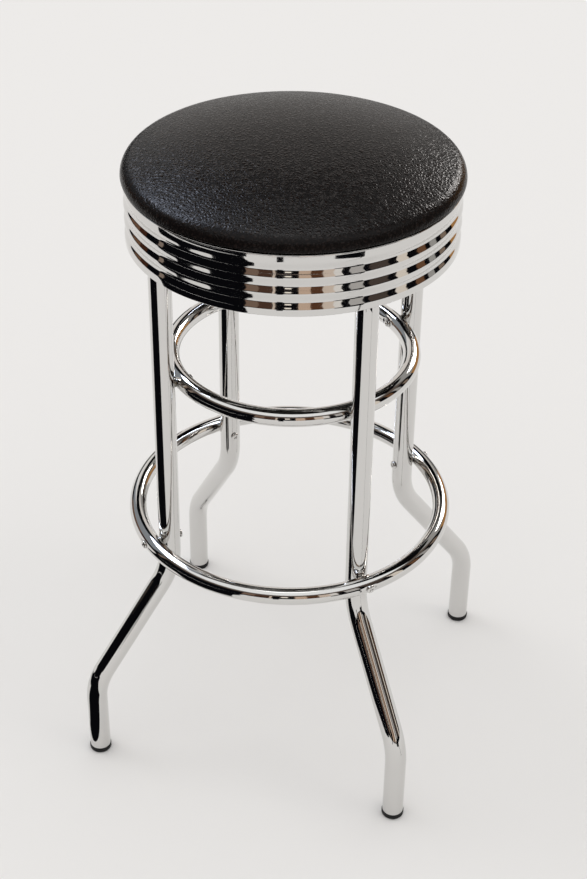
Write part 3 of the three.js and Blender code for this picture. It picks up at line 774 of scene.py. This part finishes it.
def combine(made, other, operation="DIFFERENCE"):
    """Shapes one piece with another by a Boolean and removes the other."""
    shape = made.modifiers.new("shape", "BOOLEAN")
    shape.operation = operation
    shape.object = other
    shape.solver = "EXACT"
    bake(made)
    bpy.data.objects.remove(other)


def screw(radius, height, shank, length, facing):
    """A pan head screw with a cross recess, its head towards +X or -X, or downwards for facing None."""
    made = piece("screw", lathe(head_outline(radius, height, shank, length), SMALL_SIDES))
    combine(made, cross_cutter(height, radius / HEAD_RADIUS))
    turn, axis = (math.pi, "X") if facing is None else (facing * QUARTER, "Y")
    made.data.transform(Matrix.Rotation(turn, 4, axis))
    return soften(made)


print("one cross-recess screw is", round(2 * HEAD_RADIUS / MM), "mm across")

# %% Screws of the two rings
leg_inner_face = leg_circle - LEG_TUBE - FIT_GAP
upper_seat = ring_radius("upper_ring") - RING_TUBE + FLAT_DEPTH - FIT_GAP
foot_seat = ring_radius("foot_ring") + RING_TUBE - FLAT_DEPTH + FIT_GAP
THREAD_GRIP = 7 * MM
ring_screws = (  # name, solid, radius and ring of the seat, side, length, share of full size, seed
    ("upper_ring_screws", "upper_ring_screw", upper_seat, "upper_ring", INWARD,
     leg_inner_face + THREAD_GRIP - upper_seat, 0.75, 3),
    ("foot_ring_screws", "foot_ring_screw", foot_seat, "foot_ring", OUTWARD,
     foot_seat - leg_inner_face - THREAD_GRIP, 0.83, 8),
    ("sleeve_nuts", "sleeve_nut", leg_inner_face, "foot_ring", INWARD, THREAD_GRIP, 0.83, 14),
)
for name, node, seat, ring, facing, length, share, seed in ring_screws:
    one = screw(HEAD_RADIUS * share, HEAD_HEIGHT * share, SHANK_RADIUS, length, facing)
    made = in_a_circle(name, one, chrome, seat, middle(ring).z, twist=QUARTER, seed=seed)
    place(made, "frame", "chrome", *leg_nodes(node))

# %% [markdown]
# ## Glides
#
# Each foot ends in a moulded plug with a rounded tread. A thin collar stands round the end of the tube,
# which hides the cut edge of the chrome.

# %% Glides
glide_height = bottom("leg_front_right") - FIT_GAP
GLIDE_ROUND = 2.6 * MM
GLIDE_COLLAR = 0.6 * MM
GLIDE_OVERLAP = 1.3 * MM
GLIDE_EDGE = 0.3 * MM
GLIDE_STEM = 18 * MM


def glide_outline():
    tread = LEG_TUBE + GLIDE_COLLAR
    rim = glide_height + GLIDE_OVERLAP
    stem = LEG_TUBE - LEG_WALL - FIT_GAP
    return [
        (0, 0), *arc(tread - GLIDE_ROUND, GLIDE_ROUND, GLIDE_ROUND, GLIDE_ROUND, -90, 0, 8),
        *arc(tread - GLIDE_EDGE, rim - GLIDE_EDGE, GLIDE_EDGE, GLIDE_EDGE, 0, 90, 4),
        (LEG_TUBE + FIT_GAP, rim), (LEG_TUBE + FIT_GAP, glide_height),
        (stem, glide_height), (stem, glide_height + GLIDE_STEM), (0, glide_height + GLIDE_STEM)]


glide = piece("glide", lathe(glide_outline(), SMALL_SIDES))
glides = in_a_circle("foot_glides", glide, plastic, foot_circle, 0.0)
place(glides, "frame", "black_plastic", *leg_nodes("foot_glide"))

# %% [markdown]
# ## Chrome band
#
# The band is a strip rolled into waves, bent into a hoop and turned over at the top into a thin bright
# bead. Its section is the whole of its character: each slope that faces up mirrors the room, and each one
# that faces down mirrors the floor, which is what draws the dark and pale stripes. So it is revolved from
# one outline of three waves, a wide rib whose top is drawn in, and the bead.

# %% Band
BAND_WALL = 1.2 * MM
BEAD_HEIGHT = 2.4 * MM
BEAD_WIDTH = 2.6 * MM
BEAD_BULGE = 0.5 * MM
BEAD_LIFT = 1.4 * MM
WIDE_RIB_RISE = 6.6 * MM
WIDE_RIB_DRAW = 0.75 * MM
WIDE_RIB_DROP = 8.6 * MM
WAVE_PITCH = 18.25 * MM
WAVE_DEPTH = 3.0 * MM
WAVES = 3
HEM = 1.6 * MM
SLOPE_STEPS = 10
UNDERSIDE_RAMP = 0.15
BAND_SEGMENTS = 256
band_low, band_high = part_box("seat_band")
band_radius = (band_high.x - band_low.x) / 2 - BEAD_BULGE
bead_top = band_high.z + BEAD_LIFT
wide_crest = bead_top - BEAD_HEIGHT - WIDE_RIB_RISE


def even_ease(t):
    """A slope of one steepness with a short round at each end."""
    pace = 1 / (1 - UNDERSIDE_RAMP)
    if t < UNDERSIDE_RAMP:
        return pace * t * t / (2 * UNDERSIDE_RAMP)
    if t > 1 - UNDERSIDE_RAMP:
        return 1 - pace * (1 - t) ** 2 / (2 * UNDERSIDE_RAMP)
    return pace * (t - UNDERSIDE_RAMP / 2)


def slope(start, end, share=1.0):
    """A smooth slope up between two (radius, height) points, without its start. Undersides, which widen
    upwards, are even. The others follow a cosine, and a share of 0.5 stops where that is steepest."""
    points = []
    for i in range(1, SLOPE_STEPS + 1):
        t = i / SLOPE_STEPS
        eased = (1 - math.cos(math.pi * t * share)) / (1 - math.cos(math.pi * share))
        if end[0] > start[0]:
            eased = even_ease(t)
        points.append((start[0] + (end[0] - start[0]) * eased, start[1] + (end[1] - start[1]) * t))
    return points


def band_face(radius):
    """One face of the band's wall, from the lowest crest to the crease under the bead."""
    trough = wide_crest - WIDE_RIB_DROP
    extremes = [(radius, wide_crest)]
    for i in range(WAVES):
        extremes += [(radius - WAVE_DEPTH, trough), (radius, trough - WAVE_PITCH / 2)]
        trough -= WAVE_PITCH
    extremes.reverse()
    points = extremes[:1]
    for low, high in zip(extremes, extremes[1:]):
        points += slope(low, high)
    return points + slope(extremes[-1], (radius - WIDE_RIB_DRAW, wide_crest + WIDE_RIB_RISE), share=0.5)


def band_outline():
    inner = band_radius - BAND_WALL
    half = BEAD_HEIGHT / 2
    across = BEAD_WIDTH / 2
    bead = arc(band_radius + BEAD_BULGE - across, bead_top - half, across, half, -60, 230, 20)
    hem = arc(band_radius - HEM, band_low.z + HEM, HEM, HEM, -90, 0, 8)
    return [(inner, band_low.z), *hem, *band_face(band_radius), *bead, *reversed(band_face(inner))]


band = piece("chrome_band", lathe(band_outline(), BAND_SEGMENTS), chrome)
place(band, "seat", "chrome", "seat_band")

# %% [markdown]
# ## Cushion
#
# The seat is a foam dome under vinyl. The cover is pulled down between the board and the bead, so its side
# is drawn in there, stands out fullest just above and turns over a soft shoulder into a low crown. Blowing a
# pad up with Blender's Cloth is the usual way to such a form. Here the vinyl is stretched so tight that its
# outline is a plain curve, so the outline is drawn as arcs and revolved, vertex moves give it the slight
# unevenness of foam, and a Subdivision Surface smooths it.

# %% Cushion form
CUSHION_SEGMENTS = 96
CUSHION_RINGS = 12
cushion_low, cushion_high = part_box("seat_cushion")
cushion_radius = (cushion_high.x - cushion_low.x) / 2
TUCK_GAP = 1.05 * MM
tuck_radius = band_radius - BAND_WALL - WIDE_RIB_DRAW - TUCK_GAP
BULGE_HEIGHT = 7.4 * MM
UNDERCUT_REACH, UNDERCUT_RISE = 0.4, 0.3
SHOULDER = 15 * MM
DOME_SLOPE = 13.5
DOME_POWER = 2.4
FOAM_LUMP = 70 * MM
FOAM_RISE = 0.25 * MM


def bezier(a, b, c, d, steps):
    """Points of a cubic curve after its first point."""
    points = []
    for i in range(1, steps + 1):
        t = i / steps
        weights = ((1 - t) ** 3, 3 * t * (1 - t) ** 2, 3 * t * t * (1 - t), t ** 3)
        points.append(tuple(sum(w * p[k] for w, p in zip(weights, (a, b, c, d))) for k in (0, 1)))
    return points


def cushion_outline():
    """The cushion's half section: an undercut, a round shoulder and a dome."""
    rim = (tuck_radius, bead_top + FIT_GAP)
    full = (cushion_radius, cushion_low.z + BULGE_HEIGHT)
    crown = cushion_high.z - FOAM_RISE
    proud, lift = full[0] - rim[0], full[1] - rim[1]
    low = bezier(rim, (rim[0] + proud * UNDERCUT_REACH, rim[1] + lift * UNDERCUT_RISE),
                 (full[0], full[1] - lift * UNDERCUT_RISE), full, 6)
    shoulder = arc(full[0] - SHOULDER, full[1], SHOULDER, SHOULDER, 0, 90 - DOME_SLOPE, 12)
    reach, height = shoulder[-1]
    dome = []
    for i in range(1, CUSHION_RINGS + 1):
        share = 1 - i / CUSHION_RINGS
        dome.append((reach * share, crown - (crown - height) * share ** DOME_POWER))
    return [(0, cushion_low.z), (tuck_radius * 0.5, cushion_low.z), (tuck_radius, cushion_low.z), rim,
            *low, *shoulder[1:], *dome]


def foam_unevenness(made):
    """Moves the top's points up or down by the little that foam and stretched vinyl vary."""
    for vertex in made.data.vertices:
        above = min(1, max(0, (vertex.co.z - cushion_low.z - BULGE_HEIGHT) / SHOULDER))
        vertex.co.z += above * FOAM_RISE * noise.noise(vertex.co / FOAM_LUMP)


cushion = piece("cushion", lathe(cushion_outline(), CUSHION_SEGMENTS), vinyl)
foam_unevenness(cushion)
crown_height = cushion_high.z - cushion_low.z
print(f"cushion {2 * cushion_radius:.3f} m across, crown {crown_height:.3f} m over the board")
finer = cushion.modifiers.new("finer", "SUBSURF")
finer.levels = finer.render_levels = 2
place(cushion, "seat", "vinyl", "seat_cushion")

# %% [markdown]
# ## Board, vinyl turn-in and staples
#
# Turn the stool over and the board shows: a disc of plywood with the vinyl pulled round its edge and
# stapled underneath. The turn-in is a thin skin on the board, its edge as uneven as shears leave it. The
# staples are the sort of detail that a recipe should place, each a little askew.

# %% Board
board_low, board_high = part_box("seat_board")
board_radius = (board_high.x - board_low.x) / 2
EDGE_ROUND = 0.8 * MM
BOARD_SEGMENTS = 192


def board_outline():
    inset = board_radius - EDGE_ROUND
    return [(0, board_low.z), *arc(inset, board_low.z + EDGE_ROUND, EDGE_ROUND, EDGE_ROUND, -90, 0, 4),
            *arc(inset, board_high.z - EDGE_ROUND, EDGE_ROUND, EDGE_ROUND, 0, 90, 4), (0, board_high.z)]


board = piece("ply_board", lathe(board_outline(), BOARD_SEGMENTS), plywood)
place(board, "seat", "plywood", "seat_board")

# %% Vinyl turn-in
TURN_IN_WALL = 0.24 * MM
TURN_IN_EDGE = 148 * MM
TURN_IN_WAVE = 2.2 * MM
TURN_IN_SEGMENTS = 288
EDGE_COVER = 0.5 * MM
TURN_IN_GAP = 0.02 * MM


def turn_in_mesh():
    """The cover's margin: down the board's edge and in under it, cut unevenly by the shears."""
    outside, inside = board_radius + EDGE_COVER, board_radius + TURN_IN_GAP
    under, over = board_low.z - TURN_IN_WALL, board_low.z - TURN_IN_GAP
    mesh = bmesh.new()
    rings = []
    for i in range(TURN_IN_SEGMENTS):
        turn = 2 * math.pi * i / TURN_IN_SEGMENTS
        wobble = (math.sin(5 * turn) + math.sin(13 * turn + 1) * 0.6) / 1.6
        cut_edge = TURN_IN_EDGE + TURN_IN_WAVE * wobble
        outline = [(cut_edge, under), (outside, under), (outside, board_high.z), (inside, board_high.z),
                   (inside, over), (cut_edge, over)]
        rings.append([mesh.verts.new(polar(r, turn, z)) for r, z in outline])
    for here, following in zip(rings, rings[1:] + rings[:1]):
        bridge(mesh, here, following)
    bmesh.ops.recalc_face_normals(mesh, faces=mesh.faces)
    return mesh


place(piece("vinyl_turn_in", turn_in_mesh(), vinyl), "seat", "vinyl")

# %% Staples
STAPLES = 40
STAPLE_CIRCLE = 153 * MM
STAPLE_HALF = 5.5 * MM
STAPLE_WIRE = 0.6 * MM
STAPLE_WIDTH = 1.1 * MM
STAPLE_LEG = 2 * MM
STAPLE_SKEW = math.radians(14)


def staple_mesh():
    """A staple across +X: a flat crown under the board and two legs that go up into it."""
    half, wire, bend = STAPLE_HALF, STAPLE_WIRE, STAPLE_WIRE * 0.6
    outline = [(-half, STAPLE_LEG), (-half, bend - wire), (bend - half, -wire), (half - bend, -wire),
               (half, bend - wire), (half, STAPLE_LEG), (half - wire, STAPLE_LEG), (half - wire, 0),
               (wire - half, 0), (wire - half, STAPLE_LEG)]
    return prism(*[[(x, y, z) for y, z in outline] for x in (-STAPLE_WIDTH / 2, STAPLE_WIDTH / 2)])


staples = in_a_circle(
    "staples", piece("staple", staple_mesh()), zinc, STAPLE_CIRCLE, board_low.z - TURN_IN_WALL,
    copies=STAPLES, first=math.pi / STAPLES, spin=STAPLE_SKEW, seed=7)
place(staples, "seat", "zinc_plate")

# %% [markdown]
# ## Swivel
#
# Two pressed steel plates face each other, with a ring of balls in a cage between them and a hollow rivet
# through the middle. A pressing is one sheet of even thickness, so each plate is drawn as a single skin, a
# rounded square with a raised dish, and a Solidify modifier gives it its wall.

# %% Pressed plates
PLATE_CORNER = 12 * MM
DISH_RADIUS = 50 * MM
DISH_DEPTH = 3 * MM
DISH_FLANK = 4 * MM
BALL_CIRCLE = 38 * MM
RACE_HALF = 2.6 * MM
RACE_DEPTH = 0.8 * MM
PLATE_WALL = 2.5 * MM
RIVET_HOLE = 8.35 * MM
PLATE_SEGMENTS = 192


def square_rim(half, corner, turn):
    """The point of a rounded square's rim in a given direction."""
    east, north = math.cos(turn), math.sin(turn)
    inset = half - corner
    reach = half / max(abs(east), abs(north))
    x, y = abs(reach * east), abs(reach * north)
    if min(x, y) > inset:
        u, v = abs(east), abs(north)
        middle_along = inset * (u + v)
        reach = middle_along + math.sqrt(middle_along ** 2 - 2 * inset ** 2 + corner ** 2)
    return Vector((reach * east, reach * north))


def plate_mesh(half, low, up):
    """Skin of a pressed plate: rings of points from the centre hole out to the rounded square."""
    race = arc(BALL_CIRCLE, DISH_DEPTH, RACE_HALF, RACE_DEPTH, 180, 360, 8)
    flank = DISH_RADIUS - DISH_FLANK
    profile = [(RIVET_HOLE, DISH_DEPTH), *race, (flank - EDGE_ROUND, DISH_DEPTH),
               (flank + EDGE_ROUND, DISH_DEPTH - EDGE_ROUND / 2),
               (DISH_RADIUS - EDGE_ROUND, EDGE_ROUND / 2), (DISH_RADIUS + EDGE_ROUND, 0)]
    turns = [2 * math.pi * (i + 0.5) / PLATE_SEGMENTS for i in range(PLATE_SEGMENTS)]
    mesh = bmesh.new()
    rings = [[mesh.verts.new(polar(radius, t, low + up * height)) for t in turns]
             for radius, height in profile]
    rings.append([mesh.verts.new((*square_rim(half, PLATE_CORNER, t), low)) for t in turns])
    for inner, outer in zip(rings, rings[1:]):
        bridge(mesh, *((outer, inner) if up > 0 else (inner, outer)))
    return mesh


def pressed_plate(name, node, face, up, body):
    """A plate whose race side is at a given height: up is 1 for the base and -1 for the top plate."""
    low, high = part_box(node)
    made = piece(name, plate_mesh((high.x - low.x) / 2, face, up), black_zinc)
    add_wall(made, PLATE_WALL)
    edge = made.modifiers.new("edge", "BEVEL")
    edge.width = EDGE_ROUND / 2
    edge.segments = 2
    edge.limit_method = "ANGLE"
    edge.angle_limit = math.radians(60)
    return place(made, body, "zinc_plate", node)


base_face = bottom("swivel_base_plate") + PLATE_WALL
top_face = top("swivel_top_plate") - PLATE_WALL
pressed_plate("base_plate", "swivel_base_plate", base_face, 1, "frame")
pressed_plate("top_plate", "swivel_top_plate", top_face, -1, "seat")

# %% Ball cage, rivet and washer
BALLS = 10
BALL_RADIUS = 4 * MM
CAGE_WIDTH = 14 * MM
CAGE_WALL = 1.4 * MM
RIVET_FOOT, RIVET_HEAD, RIVET_SHANK, RIVET_BORE = 13 * MM, 11 * MM, 8 * MM, 5.5 * MM
RIVET_FLANGE = 1.2 * MM
WASHER_RADIUS = 15 * MM
RIVET_SIDES = 96
race_middle = middle("swivel_ball_cage").z


def flat_ring(name, inner, outer, low, high, finish, sides):
    """A flat ring of rectangular section."""
    return piece(name, lathe([(inner, low), (outer, low), (outer, high), (inner, high)], sides), finish)


def ball_pieces():
    half_width, half_wall = CAGE_WIDTH / 2, CAGE_WALL / 2
    cage = flat_ring("cage_ring", BALL_CIRCLE - half_width, BALL_CIRCLE + half_width,
                     race_middle - half_wall, race_middle + half_wall, ball_steel, 128)
    place(cage, "ball_cage", "bright_steel", "swivel_ball_cage")
    ball = piece("ball", lathe(arc(0, 0, BALL_RADIUS, BALL_RADIUS, -90, 90, 16), PIN_SIDES))
    balls = in_a_circle(
        "cage_balls", ball, ball_steel, BALL_CIRCLE, race_middle, copies=BALLS, first=0.0)
    place(balls, "ball_cage", "bright_steel")


def rivet_pieces():
    low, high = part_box("swivel_rivet")
    edge = RIVET_FLANGE / 2
    outline = [(RIVET_BORE, low.z), *arc(RIVET_FOOT - edge, low.z + edge, edge, edge, -90, 90, 6),
               (RIVET_SHANK, low.z + RIVET_FLANGE), (RIVET_SHANK, high.z - RIVET_FLANGE),
               *arc(RIVET_HEAD - edge, high.z - edge, edge, edge, -90, 90, 6), (RIVET_BORE, high.z)]
    rivet = piece("centre_rivet", lathe(outline, RIVET_SIDES), zinc)
    place(rivet, "frame", "zinc_plate", "swivel_rivet")
    low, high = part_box("swivel_washer")
    washer = flat_ring("rivet_washer", RIVET_HOLE, WASHER_RADIUS, low.z, high.z, zinc, RIVET_SIDES)
    place(washer, "frame", "zinc_plate", "swivel_washer")


ball_pieces()
rivet_pieces()

# %% [markdown]
# ## Bolts under the seat
#
# Two hexagon bolts hold each arm, up through the tube into a nut welded on the base plate. A hexagon head
# has its corners turned off by a cone, which is a Boolean between a prism and a revolved blank.

# %% Bolts and weld nuts
BOLT_RADIUS = 3 * MM
HEX_RADIUS = 5.8 * MM
HEX_HEIGHT = 4 * MM
HEX_CORNER = 0.7 * MM
NUT_HEIGHT = 5 * MM
NUT_PLAY = 0.15 * MM


def pin(name, radius, low, high):
    """A plain cylinder between two heights."""
    return piece(name, lathe([(0, low), (radius, low), (radius, high), (0, high)], PIN_SIDES))


def hexagon(height, bore=0.0):
    """A hexagon from zero down to -height, its lower corners turned off. With a bore it is a nut."""
    mesh = bmesh.new()
    bmesh.ops.create_cone(
        mesh, cap_ends=True, segments=6, radius1=HEX_RADIUS, radius2=HEX_RADIUS, depth=height)
    bmesh.ops.translate(mesh, verts=mesh.verts, vec=(0, 0, -height / 2))
    made = piece("hexagon", mesh)
    blank = [(0, POLE), (HEX_RADIUS * 1.2, POLE), (HEX_RADIUS * 1.2, HEX_CORNER - height),
             (HEX_RADIUS - HEX_CORNER * 1.4, -height - POLE), (0, -height - POLE)]
    combine(made, piece("blank", lathe(blank, SMALL_SIDES)), "INTERSECT")
    if bore:
        combine(made, pin("drill", bore, -height * 2, height))
    return made


def join(name, *parts):
    """Several parts as one mesh."""
    mesh = bmesh.new()
    for part in parts:
        mesh.from_mesh(part.data)
        bpy.data.objects.remove(part)
    return piece(name, mesh)


arm_underside = arm_height - LEG_TUBE - FIT_GAP
for which, spin in (("inner", 0.7), ("outer", 0.4)):
    node = f"leg_bolt_{which}_front_right"
    reach = middle(node).xy.length
    shank = pin("shank", BOLT_RADIUS, -HEX_HEIGHT / 2, top(node) - arm_underside)
    bolt = join("bolt", hexagon(HEX_HEIGHT), shank)
    bolts = in_a_circle(f"{which}_leg_bolts", bolt, zinc, reach, arm_underside, spin=spin, seed=5)
    place(bolts, "frame", "zinc_plate", *leg_nodes(f"leg_bolt_{which}"))
    nut = hexagon(NUT_HEIGHT, BOLT_RADIUS + NUT_PLAY)
    nut.data.transform(Matrix.Rotation(math.pi, 4, "X"))
    nuts = in_a_circle(f"{which}_weld_nuts", nut, zinc, reach, base_face)
    place(nuts, "frame", "zinc_plate")

# %% [markdown]
# ## Screws and lugs under the board
#
# Four screws come up through the top plate into tee nuts. Four more hold the band: each goes through a lug
# that is welded inside the band, in its highest trough.

# %% Seat screws, lugs and band screws
SEAT_SCREW_HEAD, SEAT_SCREW_SHANK = 5.5 * MM, 3 * MM
BAND_SCREW_HEAD, BAND_SCREW_SHANK = 4 * MM, 2 * MM
HEAD_SHARE = 0.6  # height of a head for its radius
LUG_WIDTH = 22 * MM
LUG_WALL = 1.5 * MM
LUG_REACH = 20 * MM
LUG_DROP = 10 * MM


def board_screws(node, head, shank):
    """Four screws with their heads down, as high and as far out as their solids."""
    solid = f"{node}_front_right"
    height = head * HEAD_SHARE
    seat = bottom(solid) + height
    one = screw(head, height, shank, top(solid) - seat, None)
    made = in_a_circle(node + "s", one, zinc, middle(solid).xy.length, seat, spin=QUARTER, seed=2)
    place(made, "seat", "zinc_plate", *leg_nodes(node))


board_screws("seat_screw", SEAT_SCREW_HEAD, SEAT_SCREW_SHANK)
board_screws("band_screw", BAND_SCREW_HEAD, BAND_SCREW_SHANK)


def lug_mesh():
    """An angle of strip steel: a tongue along -X from the wall and a leg down it."""
    wall = band_radius - WAVE_DEPTH - BAND_WALL
    high = board_low.z - FIT_GAP
    inner, under, end = wall - LUG_WALL, high - LUG_WALL, wall - LUG_REACH
    outline = [(end, high), (inner, high), *arc(inner, under, LUG_WALL, LUG_WALL, 90, 0, 5),
               (wall, high - LUG_DROP), (inner, high - LUG_DROP), (inner, under), (end, under)]
    return prism(*[[(x, y, z) for x, z in outline] for y in (-LUG_WIDTH / 2, LUG_WIDTH / 2)])


lugs = in_a_circle("band_lugs", piece("lug", lug_mesh()), zinc, 0.0, 0.0)
place(lugs, "seat", "zinc_plate")

# %% [markdown]
# ## What stays as it is
#
# The tee nuts and the rivet nuts are shut inside the board and the legs. Their solids are kept, with the
# zinc finish, because nothing of them can be seen.

# %% Kept solids
kept = leg_nodes("tee_nut") + leg_nodes("rivet_nut")
for name in kept:
    data = frame["nodes"][name].data
    data.materials.clear()
    data.materials.append(zinc)
print("kept solids:", len(kept))

# %% [markdown]
# ## Stage
#
# Chrome shows its surroundings more than itself, so the stage matters as much as the finish. The floor and
# the world are one pale tone. Off to the side stand black and brown cards that only reflections can see,
# which is how a photographer draws dark lines along bright metal.

# %% Floor and world
PAPER = "#EDEBE9"
FLOOR_RADIUS = 14.0
SKY_STRENGTH = 0.9


def dress_world():
    world = bpy.data.worlds.new("studio")
    bpy.context.scene.world = world
    world.use_nodes = True
    tree = world.node_tree
    tree.nodes.clear()
    rays = add_node(tree, "ShaderNodeLightPath").outputs
    seen = rays["Is Camera Ray"]
    for other in ("Is Glossy Ray", "Is Transmission Ray"):
        seen = calculator(tree)("MAXIMUM", seen, rays[other])
    light = add_node(tree, "ShaderNodeBackground", {"Color": (1, 1, 1, 1), "Strength": SKY_STRENGTH})
    backdrop = add_node(tree, "ShaderNodeBackground", {"Color": linear(PAPER), "Strength": 1.0})
    both = add_node(tree, "ShaderNodeMixShader", {0: seen, 1: light.outputs[0], 2: backdrop.outputs[0]})
    add_node(tree, "ShaderNodeOutputWorld", {"Surface": both.outputs[0]})


paper = bmesh.new()
bmesh.ops.create_circle(paper, cap_ends=True, segments=96, radius=FLOOR_RADIUS)
floor = piece("floor", paper, new_finish("studio_paper", PAPER, 0.0, 0.9, specular=0.0)[0])
dress_world()
print("floor radius", FLOOR_RADIUS, "m")


# %% Lamps
def sun(name, turn, height, angle, strength, colour):
    """A soft distant lamp. Its turn runs from the camera's side, anticlockwise seen from above."""
    data = bpy.data.lights.new(name, "SUN")
    data.energy = strength
    data.angle = math.radians(angle)
    data.color = linear(colour)[:3]
    lamp = bpy.data.objects.new(name, data)
    heading = CAMERA_TURN + math.radians(turn)
    level, rise = math.cos(math.radians(height)), math.sin(math.radians(height))
    towards = Vector(polar(level, heading, rise))
    lamp.rotation_euler = towards.to_track_quat("Z", "Y").to_euler()
    collection.objects.link(lamp)


sun("key", -115, 52, 24, 0.25, "#FFFFFF")
sun("fill", 75, 48, 24, 0.16, "#FFFBF6")


# %% Cards that only reflections see
ROOM_CENTRE = 0.6
CARD_LIFT = 2 * MM


def from_camera_side(turn, distance, height):
    """A point at a turn in degrees from the camera's side, a distance from the axis and a height."""
    return Vector(polar(distance, CAMERA_TURN + math.radians(turn), height))


def card(name, rows, colour, strength=1.0):
    """A card through rows of points, lit by itself and hidden from everything but reflections."""
    mesh = bmesh.new()
    grid = [[mesh.verts.new(point) for point in row] for row in rows]
    for low, high in zip(grid, grid[1:]):
        bridge(mesh, low, high, closed=False)
    finish = bpy.data.materials.new(name)
    finish.use_nodes = True
    tree = finish.node_tree
    tree.nodes.clear()
    glow = add_node(tree, "ShaderNodeEmission", {"Color": linear(colour), "Strength": strength})
    add_node(tree, "ShaderNodeOutputMaterial", {"Surface": glow.outputs[0]})
    made = piece(name, mesh, finish)
    made.visible_camera = made.visible_diffuse = made.visible_shadow = False
    made.visible_transmission = made.visible_volume_scatter = False


def dome_card(name, turns, heights, distance, colour, strength=1.0, steps=12):
    """A card bent round the stool between two turns and two angles above the horizon, in degrees."""
    rows = []
    for i in range(steps + 1):
        height = math.radians(heights[0] + (heights[1] - heights[0]) * i / steps)
        out, up = distance * math.cos(height), ROOM_CENTRE + distance * math.sin(height)
        rows.append([from_camera_side(turns[0] + (turns[1] - turns[0]) * j / steps, out, up)
                     for j in range(steps + 1)])
    card(name, rows, colour, strength)


def floor_card(name, corners, colour):
    """A flat card on the floor through four (turn, distance) corners."""
    points = [from_camera_side(turn, distance, CARD_LIFT) for turn, distance in corners]
    card(name, [points[:2], [points[3], points[2]]], colour)


BLACK, BROWN, BEIGE, WHITE = "#0B0B0E", "#41261A", "#D8C6B6", "#FFFFFF"
dome_card("room_black", (-98, 118), (-6, 24), 3.4, BLACK, steps=36)
dome_card("room_dusk", (-98, 118), (24, 38), 3.45, "#655A53", steps=24)
dome_card("room_left_low", (-165, -98), (-6, 9), 3.4, BLACK)
dome_card("room_right_low", (118, 165), (-6, 9), 3.4, BLACK)
dome_card("room_left_pale", (-150, -98), (9, 60), 3.5, "#8E9297", steps=16)
dome_card("room_right_pale", (118, 165), (9, 40), 3.5, "#9F9D9A", steps=16)
dome_card("room_far_grey", (165, 195), (4, 31), 3.5, "#D8D2CD", strength=1.15)
dome_card("room_ceiling_black", (-180, 180), (30, 90), 3.6, "#0B0B0C", steps=48)
dome_card("softbox_far", (148, 212), (57, 74), 3.2, WHITE, strength=3.2, steps=16)
dome_card("softbox_overhead", (-100, 100), (38, 81), 3.3, WHITE, steps=24)
dome_card("softbox_top", (-180, 180), (79, 90), 3.2, WHITE, strength=2.4, steps=48)
dome_card("softbox_left", (-156, -104), (40, 53), 3.0, "#D6E0F5", strength=13.0)
dome_card("softbox_right", (134, 156), (18, 32), 3.0, "#FBF6F2", strength=15.0)
for name, turns, heights, colour in (
        ("far_left_brown", (-112, -104), (-2, 9), BROWN), ("left_lamp", (-92, -88), (2, 22), "#8A7B70"),
        ("left_tan", (-29, -21), (2, 24), "#7C6658"), ("near_brown", (-21, -12.5), (0, 24), "#4F382D"),
        ("near_strip", (-12, -10.5), (-6, 24), BEIGE), ("near_lamp", (-4.5, -0.5), (8, 20), "#FFF4E6"),
        ("near_beige", (4, 11.5), (-5, 24), "#CDB29C"), ("near_shelf", (11.5, 19), (-2, 24), "#5A3B29"),
        ("near_cream", (19, 26), (-5, 24), BEIGE), ("right_white", (26, 31), (-3, 24), "#E9E4DE"),
        ("right_grey", (36, 45), (0, 24), "#B8B4B0"), ("right_brown", (49, 62), (0, 20), "#4C423C"),
        ("right_post", (68, 76), (-6, 24), "#E8DDD0"), ("far_right_lines", (95, 101), (-4, 24), "#A5A29E"),
        ("far_right_tan", (106, 112), (-2, 16), "#857466"),
        ("side_brown", (84, 91), (-4, 20), "#6E4E38"), ("side_tan", (120, 152), (-6, 14), "#AE7F4C"),
        ("left_brown", (-136, -112), (-3, 9), "#6E5240")):
    dome_card(f"room_{name}", turns, heights, 3.1, colour, steps=4)
for name, turns in (
        ("cloth_edge", (-93, -28)), ("near_doorway", (-9.5, -5.5)), ("right_doorway", (26, 45))):
    dome_card(f"room_{name}", turns, (-14, 0), 3.2, BLACK, steps=8)
for name, corners in (
        ("near_doorway_floor", ((-9.5, 1.7), (-5.5, 1.9), (-5.5, 3.3), (-9.5, 3.3))),
        ("right_doorway_floor", ((26, 2.7), (45, 1.7), (45, 3.3), (26, 3.3))),
        ("black_cloth_far", ((-93, 1.15), (-28, 1.1), (-30, 3.2), (-93, 3.2))),
        ("black_cloth_near", ((-72, 0.58), (-32, 0.7), (-28, 1.1), (-60, 1.14))),
        ("black_cloth_under", ((-68, 0.3), (-36, 0.3), (-32, 0.7), (-72, 0.6))),
        ("black_cloth_left", ((-102, 0.6), (-72, 0.56), (-60, 1.14), (-93, 1.15)))):
    floor_card(name, corners, BLACK)
# A thin dark strip on the floor, seen only in reflections, which draws a thin dark line down the legs
floor_card("dark_cable", ((42.6, 0.5), (43.6, 0.5), (43.6, 2.6), (42.6, 2.6)), "#1A1817")
prefixes = ("room", "softbox", "black", "dark", "near", "right")
cards = [made for made in bpy.data.objects if made.name.startswith(prefixes)]
print("cards:", len(cards))

# %% [markdown]
# ## Finish
#
# The picture keeps Blender's plain Standard view.

# %% Colour management
bpy.context.scene.view_settings.view_transform = "Standard"
